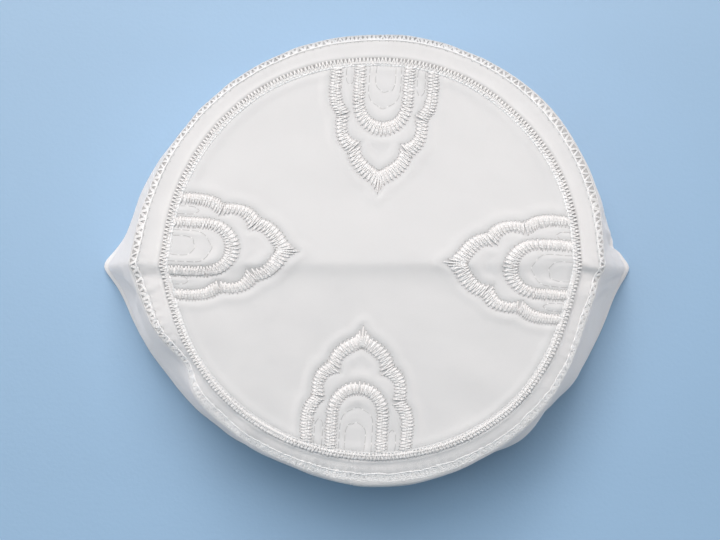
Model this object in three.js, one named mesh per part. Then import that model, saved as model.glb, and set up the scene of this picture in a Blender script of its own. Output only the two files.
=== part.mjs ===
// Bukhari cap: a round, flat-topped cotton cap, standing on its hem.
//
// Millimetres, +Z up. The origin is the middle of the hem at the level that the cap rests on,
// +X runs along the fold that the cap was once stored with, and the front of the cap faces -Y.
//
// The cap is a round crown disc and a side band. The band starts under the disc's edge, runs a
// little way out as the rim of the crown, turns down over the shoulder and goes on to the hem.
// A satin ring covers the joint of disc and band, a zigzag ring covers the shoulder, and four
// arches are worked in satin columns on the disc. Cloth is modelled as a wall of even thickness.

import * as THREE from 'three';

// ---- Driving dimensions -------------------------------------------------------------------

const GAP = 0.3; // clearance between neighbouring pieces
const CROWN_THICKNESS = 1.6; // the disc is two layers of cotton round a stiff inner layer
const BAND_THICKNESS = 1.8;

// The crown is a shallow roof: a soft ridge along X, a gentle fall to the back, and a short
// steeper fall in front of the ridge before the gentle fall to the front.
const CROWN = {
  peak: 70.0, // height at the middle of the ridge
  ridgeEndFall: 1.6, // how much lower the ridge lies where it meets the band
  ridgeReach: 77.0, // distance from the middle to that place
  ridgeY: -0.5,
  ridgeRounding: 2.0,
  backSlope: 0.085,
  frontSlope: 0.06,
  frontSag: 1.6, // how much more than its slope the front has fallen where it meets the band
  stepDepth: 0.8, // the short fall in front of the ridge
  stepWidth: 6.0,
};

const SHOULDER_FALL = 1.3; // the band's rim falls this much more than the crown would
const SHOULDER_TURN = 2.6; // length of cloth on each side of the shoulder that takes the turn
const SEAM_INSET = 1.3; // the joint of disc and band lies this far inside the ring's outer edge
const RING_WIDTH = 2.7; // satin ring
const RING_RISE = 0.9;
const ZIGZAG_WIDTH = 3.4; // zigzag ring, measured over the turn of the shoulder
const ZIGZAG_RISE = 0.6;
const LEG_SEARCH = { reach: 8, rounds: 30 }; // how an arch's leg is brought to the satin ring

// The satin ring's section, from its inner edge over its top: shares of its width, measured
// from its outer edge, and of its rise.
const RING_SECTION = [
  { inset: 1, rise: 0 },
  { inset: 0.85, rise: 0.7 },
  { inset: 0.5, rise: 1 },
  { inset: 0.15, rise: 0.6 },
  { inset: 0, rise: 0 },
];

// A satin column's section, from its outer edge to its inner edge: shares of its width, and
// heights above the cloth.
const COLUMN_SECTION = [
  { across: 0, rise: 0 },
  { across: 0.12, rise: 0.45 },
  { across: 0.5, rise: 0.8 },
  { across: 0.88, rise: 0.45 },
  { across: 1, rise: 0 },
];

// The round of the cap, a row for each section, anticlockwise from +X: radii of the satin
// ring's outer edge, of the shoulder and of the hem, and how far inside the shoulder the
// zigzag's inner points lie.
const SECTIONS = [
  { at: 0, ring: 76.9, shoulder: 84.7, hem: 93.5, zigzag: 1.7 },
  { at: 15, ring: 77.4, shoulder: 86.9, hem: 93.7, zigzag: 3.3 },
  { at: 30, ring: 77.2, shoulder: 86.6, hem: 91.0, zigzag: 3.0 },
  { at: 45, ring: 76.4, shoulder: 86.5, hem: 87.6, zigzag: 3.0 },
  { at: 60, ring: 76.0, shoulder: 84.6, hem: 84.8, zigzag: 2.1 },
  { at: 75, ring: 74.9, shoulder: 83.2, hem: 82.8, zigzag: 1.9 },
  { at: 90, ring: 73.8, shoulder: 82.0, hem: 82.1, zigzag: 2.0 },
  { at: 105, ring: 73.8, shoulder: 81.4, hem: 82.4, zigzag: 2.0 },
  { at: 120, ring: 74.0, shoulder: 81.0, hem: 83.8, zigzag: 1.7 },
  { at: 135, ring: 73.9, shoulder: 81.5, hem: 86.4, zigzag: 1.7 },
  { at: 150, ring: 73.8, shoulder: 82.0, hem: 88.6, zigzag: 1.7 },
  { at: 165, ring: 74.0, shoulder: 83.4, hem: 90.8, zigzag: 2.4 },
  { at: 180, ring: 74.0, shoulder: 84.6, hem: 92.8, zigzag: 2.9 },
  { at: 195, ring: 73.4, shoulder: 82.6, hem: 92.9, zigzag: 2.8 },
  { at: 210, ring: 73.2, shoulder: 81.5, hem: 89.1, zigzag: 2.5 },
  { at: 225, ring: 72.8, shoulder: 79.2, hem: 86.9, zigzag: 2.5 },
  { at: 240, ring: 72.6, shoulder: 79.5, hem: 84.8, zigzag: 2.4 },
  { at: 255, ring: 72.4, shoulder: 80.8, hem: 82.8, zigzag: 3.6 },
  { at: 270, ring: 72.8, shoulder: 82.8, hem: 82.4, zigzag: 5.0 },
  { at: 285, ring: 73.7, shoulder: 83.5, hem: 83.4, zigzag: 4.6 },
  { at: 300, ring: 75.0, shoulder: 83.7, hem: 85.4, zigzag: 3.7 },
  { at: 315, ring: 76.1, shoulder: 83.4, hem: 89.2, zigzag: 2.3 },
  { at: 330, ring: 76.0, shoulder: 83.5, hem: 92.3, zigzag: 2.1 },
  { at: 345, ring: 75.8, shoulder: 82.6, hem: 94.0, zigzag: 2.2 },
];

// The two upright creases where the cap was folded flat, on the right and on the left. Each
// pushes the ring, the shoulder and the hem outwards, and fades over so many degrees before it
// and after it.
const CREASES = [
  { at: -1.5, ring: 0.7, shoulder: 1.6, hem: 8.6, before: 7.0, after: 3.6 },
  { at: 181.0, ring: 1.3, shoulder: 2.0, hem: 9.3, before: 4.2, after: 5.0 },
];
const CREASE_ROUNDING = 1.4; // degrees
const SHOULDER_CREASE_SHARE = 0.7; // the crease is narrower at the shoulder than at the hem

// Soft dents that push the shoulder in and down: one at the front left, one in front, and a
// wide one that makes the whole front of the rim steeper.
const DENTS = [
  { at: 208.5, width: 5.6, inward: 4.4, drop: 3.8 },
  { at: 246.0, width: 8.0, inward: 0.5, drop: 0.8 },
  { at: 265.0, width: 42.0, inward: 0, drop: 1.2 },
];

// Soft upright folds in the wall: how far each stands out, or in, and how far down the wall
// it is deepest, from 0 at the shoulder to 1 at the hem.
const WALL_FOLDS = [
  { at: 22, width: 6, out: -1.8, down: 0.55 },
  { at: 38, width: 7, out: 1.1, down: 0.5 },
  { at: 71, width: 9, out: -1.2, down: 0.6 },
  { at: 112, width: 10, out: 1.2, down: 0.45 },
  { at: 141, width: 7, out: -1.4, down: 0.6 },
  { at: 163, width: 6, out: 0.9, down: 0.5 },
  { at: 189, width: 4, out: -1.6, down: 0.5 },
  { at: 206, width: 6, out: 1.8, down: 0.45 },
  { at: 228, width: 6, out: -1.0, down: 0.6 },
  { at: 264, width: 6, out: 0.7, down: 0.3 },
  { at: 281, width: 6, out: 1.0, down: 0.35 },
  { at: 296, width: 5, out: -1.2, down: 0.5 },
  { at: 311, width: 5, out: 2.0, down: 0.3 },
  { at: 321, width: 4, out: -0.9, down: 0.5 },
  { at: 331, width: 5, out: 1.6, down: 0.6 },
  { at: 349, width: 4, out: -1.2, down: 0.5 },
];
const WALL_BELLY = 0.8; // the whole wall stands out this much half way down

// One side of the lobed arch, a row for each rib across its satin column, from the ring to
// the tip: five rows for the leg, five for the lobe and six for the point. u is the distance
// from the arch's axis and v the distance from the ring.
const LOBED_ARCH = {
  halfWidth: 20.4,
  length: 44.4,
  ribs: [
    { outer: [20.0, 0.0], inner: [15.9, 0.0] },
    { outer: [20.4, 6.0], inner: [16.2, 6.0] },
    { outer: [20.3, 11.0], inner: [15.9, 10.4] },
    { outer: [19.4, 15.0], inner: [14.6, 13.9] },
    { outer: [17.2, 18.2], inner: [12.0, 16.9] },
    { outer: [17.2, 19.2], inner: [12.5, 18.6] },
    { outer: [17.1, 22.4], inner: [13.0, 21.4] },
    { outer: [16.3, 26.0], inner: [12.1, 24.2] },
    { outer: [14.6, 28.8], inner: [10.0, 25.9] },
    { outer: [12.2, 30.8], inner: [6.9, 26.8] },
    { outer: [12.0, 31.8], inner: [7.6, 28.3] },
    { outer: [10.8, 34.2], inner: [6.7, 31.0] },
    { outer: [8.5, 37.0], inner: [4.5, 33.3] },
    { outer: [5.6, 39.2], inner: [2.3, 34.8] },
    { outer: [2.4, 41.2], inner: [0.7, 35.7] },
    { outer: [0.0, 44.4], inner: [0.0, 36.0] },
  ],
};

// The plain round-headed arch inside it, in the same two directions: three rows for the leg
// and four for the head.
const ROUND_ARCH = {
  halfWidth: 20.4,
  length: 44.4,
  ribs: [
    { outer: [11.2, 0.0], inner: [7.2, 0.0] },
    { outer: [11.3, 7.0], inner: [7.2, 7.0] },
    { outer: [11.2, 13.6], inner: [7.1, 12.8] },
    { outer: [10.1, 17.8], inner: [6.2, 15.6] },
    { outer: [7.2, 21.5], inner: [4.3, 17.9] },
    { outer: [3.6, 23.7], inner: [2.1, 18.9] },
    { outer: [0.0, 24.4], inner: [0.0, 19.2] },
  ],
};

// Where the four arches stand on the disc: the middle of the foot on the ring, the tip, and
// half the width over the legs.
const MOTIFS = [
  { name: 'back', foot: [6.6, 70.5], tip: [3.6, 23.8], halfWidth: 19.7 },
  { name: 'left', foot: [-71.9, 5.4], tip: [-24.3, 3.3], halfWidth: 19.4 },
  { name: 'front', foot: [-4.3, -68.0], tip: [-1.4, -23.4], halfWidth: 20.4 },
  { name: 'right', foot: [75.3, -4.0], tip: [27.0, -0.5], halfWidth: 19.8 },
];

// How fine the solids are.
const ANGLE_STEP = { wide: 5.0, atCrease: 1.6, growth: 0.26 };
const DISC_ROWS = [0.16, 0.4, 0.64, 0.84, 1.0]; // shares of the disc's radius
const BAND_ROWS = [0, 0.55, 1, 1.25, 1.5, 1.75, 2, 2.12, 2.3, 2.5, 2.7, 2.87, 3];
const ZIGZAG_ROWS = [0, 0.3, 0.55, 0.8, 1]; // shares of the zigzag's width

const COTTON = { color: 0xe8e7e4, roughness: 0.92, metalness: 0 };
const THREAD = { color: 0xf2f1ee, roughness: 0.6, metalness: 0 };

// ---- The cap's surface --------------------------------------------------------------------

const radians = (degrees) => (degrees * Math.PI) / 180;
const lerp = (a, b, t) => a + (b - a) * t;

/** Degrees from one direction to another, between -180 and 180. */
function turnBetween(from, to) {
  return ((((to - from) % 360) + 540) % 360) - 180;
}

/** A column of SECTIONS at any angle, on a smooth curve through its rows. */
function sectionValue(column, angle) {
  const step = 360 / SECTIONS.length;
  const place = (((angle % 360) + 360) % 360) / step;
  const row = Math.floor(place);
  const t = place - row;
  const [a, b, c, d] = [-1, 0, 1, 2].map(
    (offset) => SECTIONS[(row + offset + SECTIONS.length) % SECTIONS.length][column],
  );
  return 0.5 * (2 * b + (c - a) * t + (2 * a - 5 * b + 4 * c - d) * t * t
    + (3 * b - a - 3 * c + d) * t ** 3);
}

/** How strongly a crease works at an angle, 1 on its line. */
function creaseShare(crease, angle, narrowing = 1) {
  const away = turnBetween(crease.at, angle);
  const width = (away < 0 ? crease.before : crease.after) * narrowing;
  return Math.exp((CREASE_ROUNDING - Math.hypot(away, CREASE_ROUNDING)) / width);
}

/** A smooth swell of height 1 round an angle. */
function swell(row, angle) {
  return Math.exp(-((turnBetween(row.at, angle) / row.width) ** 2) / 2);
}

function sum(rows, value) {
  return rows.reduce((total, row) => total + value(row), 0);
}

function ringRadius(angle) {
  return sectionValue('ring', angle)
    + sum(CREASES, (crease) => crease.ring * creaseShare(crease, angle, SHOULDER_CREASE_SHARE));
}

function shoulderRadius(angle) {
  return sectionValue('shoulder', angle)
    + sum(CREASES, (crease) => crease.shoulder * creaseShare(crease, angle, SHOULDER_CREASE_SHARE))
    - sum(DENTS, (dent) => dent.inward * swell(dent, angle));
}

function hemRadius(angle) {
  return sectionValue('hem', angle)
    + sum(CREASES, (crease) => crease.hem * creaseShare(crease, angle));
}

/** Height of the crown's upper face. */
function crownHeight(x, y) {
  const across = y - CROWN.ridgeY;
  const rounded = Math.hypot(across, CROWN.ridgeRounding) - CROWN.ridgeRounding;
  const slope = across > 0 ? CROWN.backSlope : CROWN.frontSlope;
  const step = across < 0 ? CROWN.stepDepth * (1 - Math.exp(-((across / CROWN.stepWidth) ** 2))) : 0;
  const sag = across < 0 ? CROWN.frontSag * (across / CROWN.ridgeReach) ** 2 : 0;
  return CROWN.peak - CROWN.ridgeEndFall * (x / CROWN.ridgeReach) ** 2 - slope * rounded - step - sag;
}

function polar(radius, angle, z) {
  return new THREE.Vector3(radius * Math.cos(radians(angle)), radius * Math.sin(radians(angle)), z);
}

/** A point above the crown, so far from the middle. */
function onCrown(radius, angle, rise = 0) {
  const point = polar(radius, angle, 0);
  point.z = crownHeight(point.x, point.y) + rise;
  return point;
}

/**
 * A point on the band's outer face. place runs from 0 at the joint under the satin ring to 1
 * where the shoulder starts to turn, 2 where the turn ends and 3 at the hem.
 */
function onBand(angle, place) {
  const joint = onCrown(ringRadius(angle) - SEAM_INSET, angle);
  const drop = SHOULDER_FALL + sum(DENTS, (dent) => dent.drop * swell(dent, angle));
  const shoulder = onCrown(shoulderRadius(angle), angle, -drop);
  const hem = polar(hemRadius(angle), angle, 0);
  const turnStart = joint.clone().sub(shoulder).setLength(SHOULDER_TURN).add(shoulder);
  const turnEnd = hem.clone().sub(shoulder).setLength(SHOULDER_TURN).add(shoulder);
  if (place <= 1) return joint.lerp(turnStart, place);
  if (place <= 2) {
    const t = place - 1;
    return turnStart.lerp(shoulder, t).lerp(shoulder.clone().lerp(turnEnd, t), t);
  }
  const down = place - 2;
  const folds = sum(WALL_FOLDS, (fold) => fold.out * swell(fold, angle) * wallShare(down, fold.down));
  const out = WALL_BELLY * Math.sin(Math.PI * down) + folds;
  return turnEnd.lerp(hem, down).add(polar(out, angle, 0));
}

/** Share of a fold's depth so far down the wall: 1 at its deepest level, 0 at both ends. */
function wallShare(down, deepest) {
  const stretched = down < deepest ? down / deepest : (1 - down) / (1 - deepest);
  return Math.sin((Math.PI / 2) * stretched) ** 2;
}

/** The direction that the band's outer face looks in. */
function bandNormal(angle, place) {
  const turn = 0.2;
  const shift = 0.01;
  const along = onBand(angle + turn, place).sub(onBand(angle - turn, place));
  const down = onBand(angle, Math.min(place + shift, 3)).sub(onBand(angle, Math.max(place - shift, 0)));
  return down.cross(along).normalize();
}

/** The place on the band that lies so far beyond the zigzag's inner edge, over the turn. */
function zigzagPlace(angle, distance) {
  const step = 0.02;
  const innerRadius = shoulderRadius(angle) - sectionValue('zigzag', angle);
  let place = 0;
  let point = onBand(angle, place);
  while (Math.hypot(point.x, point.y) < innerRadius) {
    place += step;
    point = onBand(angle, place);
  }
  for (let travelled = 0; travelled < distance;) {
    place += step;
    const next = onBand(angle, place);
    travelled += next.distanceTo(point);
    point = next;
  }
  return place;
}

/** The angles at which every round piece has its vertices, closest together at the creases. */
function roundAngles() {
  const angles = [];
  for (const [first, second] of [[CREASES[0], CREASES[1]], [CREASES[1], CREASES[0]]]) {
    const span = (second.at - first.at + 360) % 360;
    const steps = [];
    for (let done = 0; done < span; done += steps.at(-1)) {
      const near = Math.min(done, span - done);
      steps.push(Math.min(ANGLE_STEP.wide, ANGLE_STEP.atCrease + ANGLE_STEP.growth * near));
    }
    const total = steps.reduce((a, b) => a + b, 0);
    let angle = first.at;
    for (const step of steps) {
      angles.push(angle);
      angle += (step * span) / total;
    }
  }
  return angles;
}

const ANGLES = roundAngles();

// ---- Closed solids from rows of points -----------------------------------------------------

/** Two triangles between four points, split along the shorter diagonal. */
function quad(points, a, b, c, d) {
  const straight = points[a].distanceTo(points[c]) <= points[b].distanceTo(points[d]);
  return straight ? [[a, b, c], [a, c, d]] : [[a, b, d], [b, c, d]];
}

/** A geometry from points and triangles, turned to face outwards. */
function solid(points, triangles) {
  const volume = triangles.reduce((total, [a, b, c]) => (
    total + points[a].dot(new THREE.Vector3().crossVectors(points[b], points[c]))
  ), 0);
  const facing = volume > 0 ? triangles : triangles.map(([a, b, c]) => [a, c, b]);
  const geometry = new THREE.BufferGeometry().setFromPoints(points);
  geometry.setIndex(facing.flat());
  geometry.computeVertexNormals();
  return geometry;
}

/** Faces between neighbouring rows of points; each row closes on itself if it is a ring. */
function rowFaces(points, rowCount, rowLength, { ringRows, closedRows }) {
  const triangles = [];
  for (let row = 0; row < rowCount - (closedRows ? 0 : 1); row += 1) {
    const next = (row + 1) % rowCount;
    for (let column = 0; column < rowLength - (ringRows ? 0 : 1); column += 1) {
      const beside = (column + 1) % rowLength;
      triangles.push(...quad(
        points,
        row * rowLength + column,
        row * rowLength + beside,
        next * rowLength + beside,
        next * rowLength + column,
      ));
    }
  }
  return triangles;
}

/** A ring-shaped solid: rings of points that follow each other round the ring's section. */
function ringSolid(rings) {
  const points = rings.flat();
  const shape = { ringRows: true, closedRows: true };
  return solid(points, rowFaces(points, rings.length, rings[0].length, shape));
}

/** A disc-shaped solid: rings of points from the middle of one face to that of the other. */
function discSolid(startPole, rings, endPole) {
  const count = rings[0].length;
  const points = [...rings.flat(), startPole, endPole];
  const start = points.length - 2;
  const end = points.length - 1;
  const last = (rings.length - 1) * count;
  const triangles = rowFaces(points, rings.length, count, { ringRows: true, closedRows: false });
  for (let column = 0; column < count; column += 1) {
    const beside = (column + 1) % count;
    triangles.push([start, beside, column], [end, last + column, last + beside]);
  }
  return solid(points, triangles);
}

/** A bar-shaped solid: closed sections that follow each other from end to end. */
function barSolid(sections) {
  const count = sections[0].length;
  const points = sections.flat();
  const last = (sections.length - 1) * count;
  const triangles = rowFaces(points, sections.length, count, { ringRows: true, closedRows: false });
  for (let corner = 1; corner < count - 1; corner += 1) {
    triangles.push([0, corner + 1, corner], [last, last + corner, last + corner + 1]);
  }
  return solid(points, triangles);
}

// ---- The pieces ---------------------------------------------------------------------------

function crownTop() {
  const edge = (angle) => ringRadius(angle) - SEAM_INSET - GAP;
  const face = (share, rise) => ANGLES.map((angle) => onCrown(edge(angle) * share, angle, rise));
  const upper = DISC_ROWS.map((share) => face(share, 0));
  const lower = DISC_ROWS.map((share) => face(share, -CROWN_THICKNESS)).reverse();
  return discSolid(onCrown(0, 0), [...upper, ...lower], onCrown(0, 0, -CROWN_THICKNESS));
}

function sideBand() {
  const innerPoint = (angle, place) => {
    const inward = bandNormal(angle, place).negate();
    if (place === 0) inward.set(0, 0, -1);
    if (place === 3) inward.setZ(0).normalize();
    return onBand(angle, place).addScaledVector(inward, BAND_THICKNESS);
  };
  const outer = BAND_ROWS.map((place) => ANGLES.map((angle) => onBand(angle, place)));
  const inner = BAND_ROWS.map((place) => ANGLES.map((angle) => innerPoint(angle, place))).reverse();
  return ringSolid([...outer, ...inner]);
}

function seamRing() {
  return ringSolid(RING_SECTION.map(({ inset, rise }) => ANGLES.map((angle) => (
    onCrown(ringRadius(angle) - RING_WIDTH * inset, angle, GAP + RING_RISE * rise)
  ))));
}

function shoulderZigzag() {
  const layer = (rise) => ZIGZAG_ROWS.map((share) => ANGLES.map((angle) => {
    const place = zigzagPlace(angle, share * ZIGZAG_WIDTH);
    return onBand(angle, place).addScaledVector(bandNormal(angle, place), GAP + rise);
  }));
  return ringSolid([...layer(0), ...layer(ZIGZAG_RISE).reverse()]);
}

/** Turns an arch's own u and v into a place on the crown. */
function archFrame(arch, motif) {
  const foot = new THREE.Vector2(...motif.foot);
  const axis = new THREE.Vector2(...motif.tip).sub(foot);
  const stretch = axis.length() / arch.length;
  axis.normalize();
  const side = new THREE.Vector2(axis.y, -axis.x);
  const widen = motif.halfWidth / arch.halfWidth;
  return ([u, v]) => foot.clone().addScaledVector(axis, v * stretch).addScaledVector(side, u * widen);
}

/** Moves a leg's foot along its own direction until it meets the satin ring. */
function meetRing(place, [u]) {
  const clearOfRing = (v) => {
    const point = place([u, v]);
    const angle = (Math.atan2(point.y, point.x) * 180) / Math.PI;
    return ringRadius(angle) - RING_WIDTH - GAP - point.length();
  };
  let [low, high] = [-LEG_SEARCH.reach, LEG_SEARCH.reach];
  for (let round = 0; round < LEG_SEARCH.rounds; round += 1) {
    const middle = (low + high) / 2;
    if (clearOfRing(middle) < 0) low = middle;
    else high = middle;
  }
  return [u, high];
}

/** The satin column of an arch, as a low bar with a raised middle. */
function archColumn(arch, motif) {
  const place = archFrame(arch, motif);
  const oneSide = (sign) => arch.ribs.map(({ outer, inner }, index) => {
    const ends = [outer, inner].map(([u, v]) => [u * sign, v]);
    return index === 0 ? ends.map((end) => meetRing(place, end)) : ends;
  });
  const ribs = [...oneSide(-1), ...oneSide(1).reverse().slice(1)];
  return barSolid(ribs.map(([outer, inner]) => {
    const [start, end] = [place(outer), place(inner)];
    return COLUMN_SECTION.map(({ across, rise }) => {
      const { x, y } = start.clone().lerp(end, across);
      return new THREE.Vector3(x, y, crownHeight(x, y) + GAP + rise);
    });
  }));
}

// ---- Assembly -----------------------------------------------------------------------------

const cap = new THREE.Group();

function addPiece(name, geometry, finish) {
  const mesh = new THREE.Mesh(geometry, new THREE.MeshStandardMaterial(finish));
  mesh.name = name;
  cap.add(mesh);
}

addPiece('crown_top', crownTop(), COTTON);
addPiece('side_band', sideBand(), COTTON);
addPiece('seam_ring', seamRing(), THREAD);
addPiece('shoulder_zigzag', shoulderZigzag(), THREAD);
for (const motif of MOTIFS) {
  addPiece(`lobed_arch_${motif.name}`, archColumn(LOBED_ARCH, motif), THREAD);
  addPiece(`round_arch_${motif.name}`, archColumn(ROUND_ARCH, motif), THREAD);
}

export default cap;
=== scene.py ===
"""Looks of the bukhari cap: quilted cotton, satin and zigzag embroidery, floor, light, camera.

Lengths in tables and sizes are millimetres and angles are degrees, as in the part's source.
Meshes are made in metres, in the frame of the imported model: +Z up, the front of the cap at -Y,
and the old storage fold along X. The cap's form follows that of the part's source, with a front
that lies a little lower and a few more dents, and adds the low relief that stitching gives.
"""

from __future__ import annotations

import logging
import math
from collections.abc import Mapping, Sequence
from dataclasses import dataclass, field
from enum import Enum
from typing import Any, NamedTuple

import bmesh
import bpy
import numpy as np
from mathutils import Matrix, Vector


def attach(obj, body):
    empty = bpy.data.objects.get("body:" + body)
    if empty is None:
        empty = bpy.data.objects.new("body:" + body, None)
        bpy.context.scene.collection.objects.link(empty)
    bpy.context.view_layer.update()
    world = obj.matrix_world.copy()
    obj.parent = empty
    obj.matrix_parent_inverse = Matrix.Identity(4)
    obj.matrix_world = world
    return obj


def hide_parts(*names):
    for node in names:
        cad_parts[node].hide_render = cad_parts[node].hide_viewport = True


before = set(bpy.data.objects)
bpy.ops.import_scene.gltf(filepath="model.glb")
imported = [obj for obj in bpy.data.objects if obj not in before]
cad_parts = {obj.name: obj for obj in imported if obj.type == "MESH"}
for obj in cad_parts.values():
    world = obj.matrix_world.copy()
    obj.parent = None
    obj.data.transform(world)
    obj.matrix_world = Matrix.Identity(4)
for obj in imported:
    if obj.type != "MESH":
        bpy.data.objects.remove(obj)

Array = np.ndarray
MM = 0.001
TAU = 2 * math.pi
BODY = "root"
WELD_DISTANCE = 1e-6  # metres
log = logging.getLogger("bukhari_cap")


# ---- The cap's form -------------------------------------------------------------------------


class Section(NamedTuple):
    """Radii of the cap at one angle, and how far inside the shoulder the zigzag starts."""

    at: float
    ring: float
    shoulder: float
    hem: float
    zigzag: float


class Crease(NamedTuple):
    """An upright crease: how far it pushes each ring out, and how far it reaches."""

    at: float
    ring: float
    shoulder: float
    hem: float
    before: float
    after: float


class Dent(NamedTuple):
    """A soft dent that pushes the shoulder in and down."""

    at: float
    width: float
    inward: float
    drop: float


class Fold(NamedTuple):
    """An upright fold in the wall, deepest so far down from shoulder (0) to hem (1)."""

    at: float
    width: float
    out: float
    down: float


class Wrinkle(NamedTuple):
    """A short ridge or valley in the band, with its middle, half sizes, turn and height."""

    at: float
    place: float
    width: float
    reach: float
    lean: float
    height: float


SECTIONS = (
    Section(0, 76.9, 84.7, 93.5, 1.7),
    Section(15, 77.4, 86.9, 93.7, 3.3),
    Section(30, 77.2, 86.6, 91.0, 3.0),
    Section(45, 76.4, 86.5, 87.6, 3.0),
    Section(60, 76.0, 84.6, 84.8, 2.1),
    Section(75, 74.9, 83.2, 82.8, 1.9),
    Section(90, 73.8, 82.0, 82.1, 2.0),
    Section(105, 73.8, 81.4, 82.4, 2.0),
    Section(120, 74.0, 81.0, 83.8, 1.7),
    Section(135, 73.9, 81.5, 86.4, 1.7),
    Section(150, 73.8, 82.0, 88.6, 1.7),
    Section(165, 74.0, 83.4, 90.8, 2.4),
    Section(180, 74.0, 84.6, 92.8, 2.9),
    Section(195, 73.4, 82.6, 92.9, 2.8),
    Section(210, 73.2, 81.5, 89.1, 2.5),
    Section(225, 72.8, 80.1, 86.9, 3.4),
    Section(240, 72.6, 80.1, 84.8, 3.0),
    Section(255, 72.4, 80.8, 82.8, 3.6),
    Section(270, 72.8, 82.8, 82.4, 5.0),
    Section(285, 73.7, 83.5, 83.4, 4.6),
    Section(300, 75.0, 83.7, 85.4, 3.7),
    Section(315, 76.1, 84.4, 89.2, 3.3),
    Section(330, 76.0, 83.5, 92.3, 2.1),
    Section(345, 75.8, 82.6, 94.0, 2.2),
)
CREASES = (
    Crease(-1.5, 0.7, 1.6, 8.6, 7.0, 3.6),
    Crease(181.0, 1.3, 2.0, 9.3, 4.2, 5.0),
)
DENTS = (
    Dent(208.5, 5.6, 4.4, 3.8),
    Dent(246.0, 8.0, 0.5, 0.8),
    Dent(265.0, 42.0, 0.0, 1.2),
    Dent(349.0, 14.0, 0.0, 3.6),
    Dent(322.0, 15.0, 0.0, 2.0),
    Dent(298.0, 12.0, 0.0, 0.8),
    Dent(224.0, 12.0, -0.4, 3.5),
    Dent(192.0, 8.0, 0.0, 2.0),
)
WALL_FOLDS = (
    Fold(22, 6, -1.8, 0.55),
    Fold(38, 7, 1.1, 0.5),
    Fold(71, 9, -1.2, 0.6),
    Fold(112, 10, 1.2, 0.45),
    Fold(141, 7, -1.4, 0.6),
    Fold(163, 6, 0.9, 0.5),
    Fold(189, 4, -1.6, 0.5),
    Fold(206, 6, 1.8, 0.45),
    Fold(228, 6, -1.0, 0.6),
    Fold(264, 6, 0.7, 0.3),
    Fold(281, 6, 1.0, 0.35),
    Fold(296, 5, -1.2, 0.5),
    Fold(311, 5, 2.0, 0.3),
    Fold(321, 4, -0.9, 0.5),
    Fold(331, 5, 1.6, 0.6),
    Fold(349, 4, -1.2, 0.5),
)
WRINKLES = (
    Wrinkle(184.5, 2.20, 1.5, 0.16, 0.0, 0.5),
    Wrinkle(188.2, 2.16, 1.0, 0.14, 4.0, -0.7),
    Wrinkle(191.0, 2.24, 1.4, 0.16, 5.0, 0.5),
    Wrinkle(188.5, 0.45, 1.2, 0.6, 2.0, -0.25),
    Wrinkle(184.6, 0.70, 2.2, 1.2, 0.0, -0.8),
    Wrinkle(190.5, 0.70, 5.0, 1.2, 0.0, -0.4),
    Wrinkle(354.9, 0.70, 2.3, 1.2, 0.0, -0.9),
    Wrinkle(348.5, 0.70, 5.0, 1.2, 0.0, -0.4),
    Wrinkle(356.6, 0.50, 1.0, 0.9, -1.5, -0.45),
    Wrinkle(358.6, 0.50, 0.9, 0.9, -1.5, 0.3),
    Wrinkle(351.0, 2.35, 1.8, 0.25, 6.0, -0.6),
    Wrinkle(3.9, 2.72, 0.9, 0.34, -3.0, -1.5),
    Wrinkle(6.6, 2.45, 1.4, 0.40, -2.0, 0.7),
    Wrinkle(1.2, 2.55, 1.1, 0.30, 2.0, 0.6),
    Wrinkle(355.6, 2.55, 0.9, 0.36, 4.0, -0.6),
    Wrinkle(9.5, 2.22, 1.5, 0.18, -4.0, -0.5),
    Wrinkle(234.0, 0.55, 0.7, 0.35, 7.0, 0.25),
)


def turn_between(start: float, end: Array) -> Array:
    """Degrees from one direction to others, between -180 and 180."""
    return (end - start + 540) % 360 - 180


def swell(at: float, width: float, angle: Array) -> Array:
    """A smooth swell of height 1 round an angle."""
    return np.exp(-((turn_between(at, angle) / width) ** 2) / 2)


def bell(distance: Array, width: float) -> Array:
    """A smooth hump of height 1 round a distance of zero."""
    return np.exp(-((distance / width) ** 2))


def falling(distance: Array, width: float) -> Array:
    """A smooth step from 1 down to 0 as a distance passes zero."""
    return 1 / (1 + np.exp(distance / width))


def running_total(steps: Array) -> Array:
    """Sums of the steps so far, from zero."""
    return np.concatenate([[0], np.cumsum(steps)])


def path_lengths(path: Array) -> Array:
    """Length along a path to each of its points."""
    return running_total(np.linalg.norm(np.diff(path, axis=0), axis=1))


def along_path(path: Array, way: Array) -> Array:
    """Points at lengths along a path in the plane."""
    lengths = path_lengths(path)
    return np.stack([np.interp(way, lengths, path[:, axis]) for axis in (0, 1)], axis=-1)


def unit(vectors: Array) -> Array:
    """Vectors of length 1 along the last axis."""
    return vectors / np.linalg.norm(vectors, axis=-1, keepdims=True)


def mix(first: Array, second: Array, share: Array) -> Array:
    """Points between two sets of points, with a share for each point."""
    return first + (second - first) * np.asarray(share)[..., None]


def polar(radius: Array, angle: Array, height: Array | float = 0.0) -> Array:
    """Points at radii and angles.

    Args:
        radius: Distances from the cap's middle.
        angle: Directions from the middle.
        height: Heights above the hem.

    Returns:
        The points, with x, y and z along the last axis.
    """
    turn = np.radians(angle)
    points = np.broadcast_arrays(radius * np.cos(turn), radius * np.sin(turn), height)
    return np.stack(points, axis=-1)


def spline(rows: Sequence[Array], share: Array) -> Array:
    """Values between the two middle ones of four rows, on a smooth curve through them all."""
    a, b, c, d = rows
    return 0.5 * (
        2 * b
        + (c - a) * share
        + (2 * a - 5 * b + 4 * c - d) * share**2
        + (3 * b - a - 3 * c + d) * share**3
    )


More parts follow.
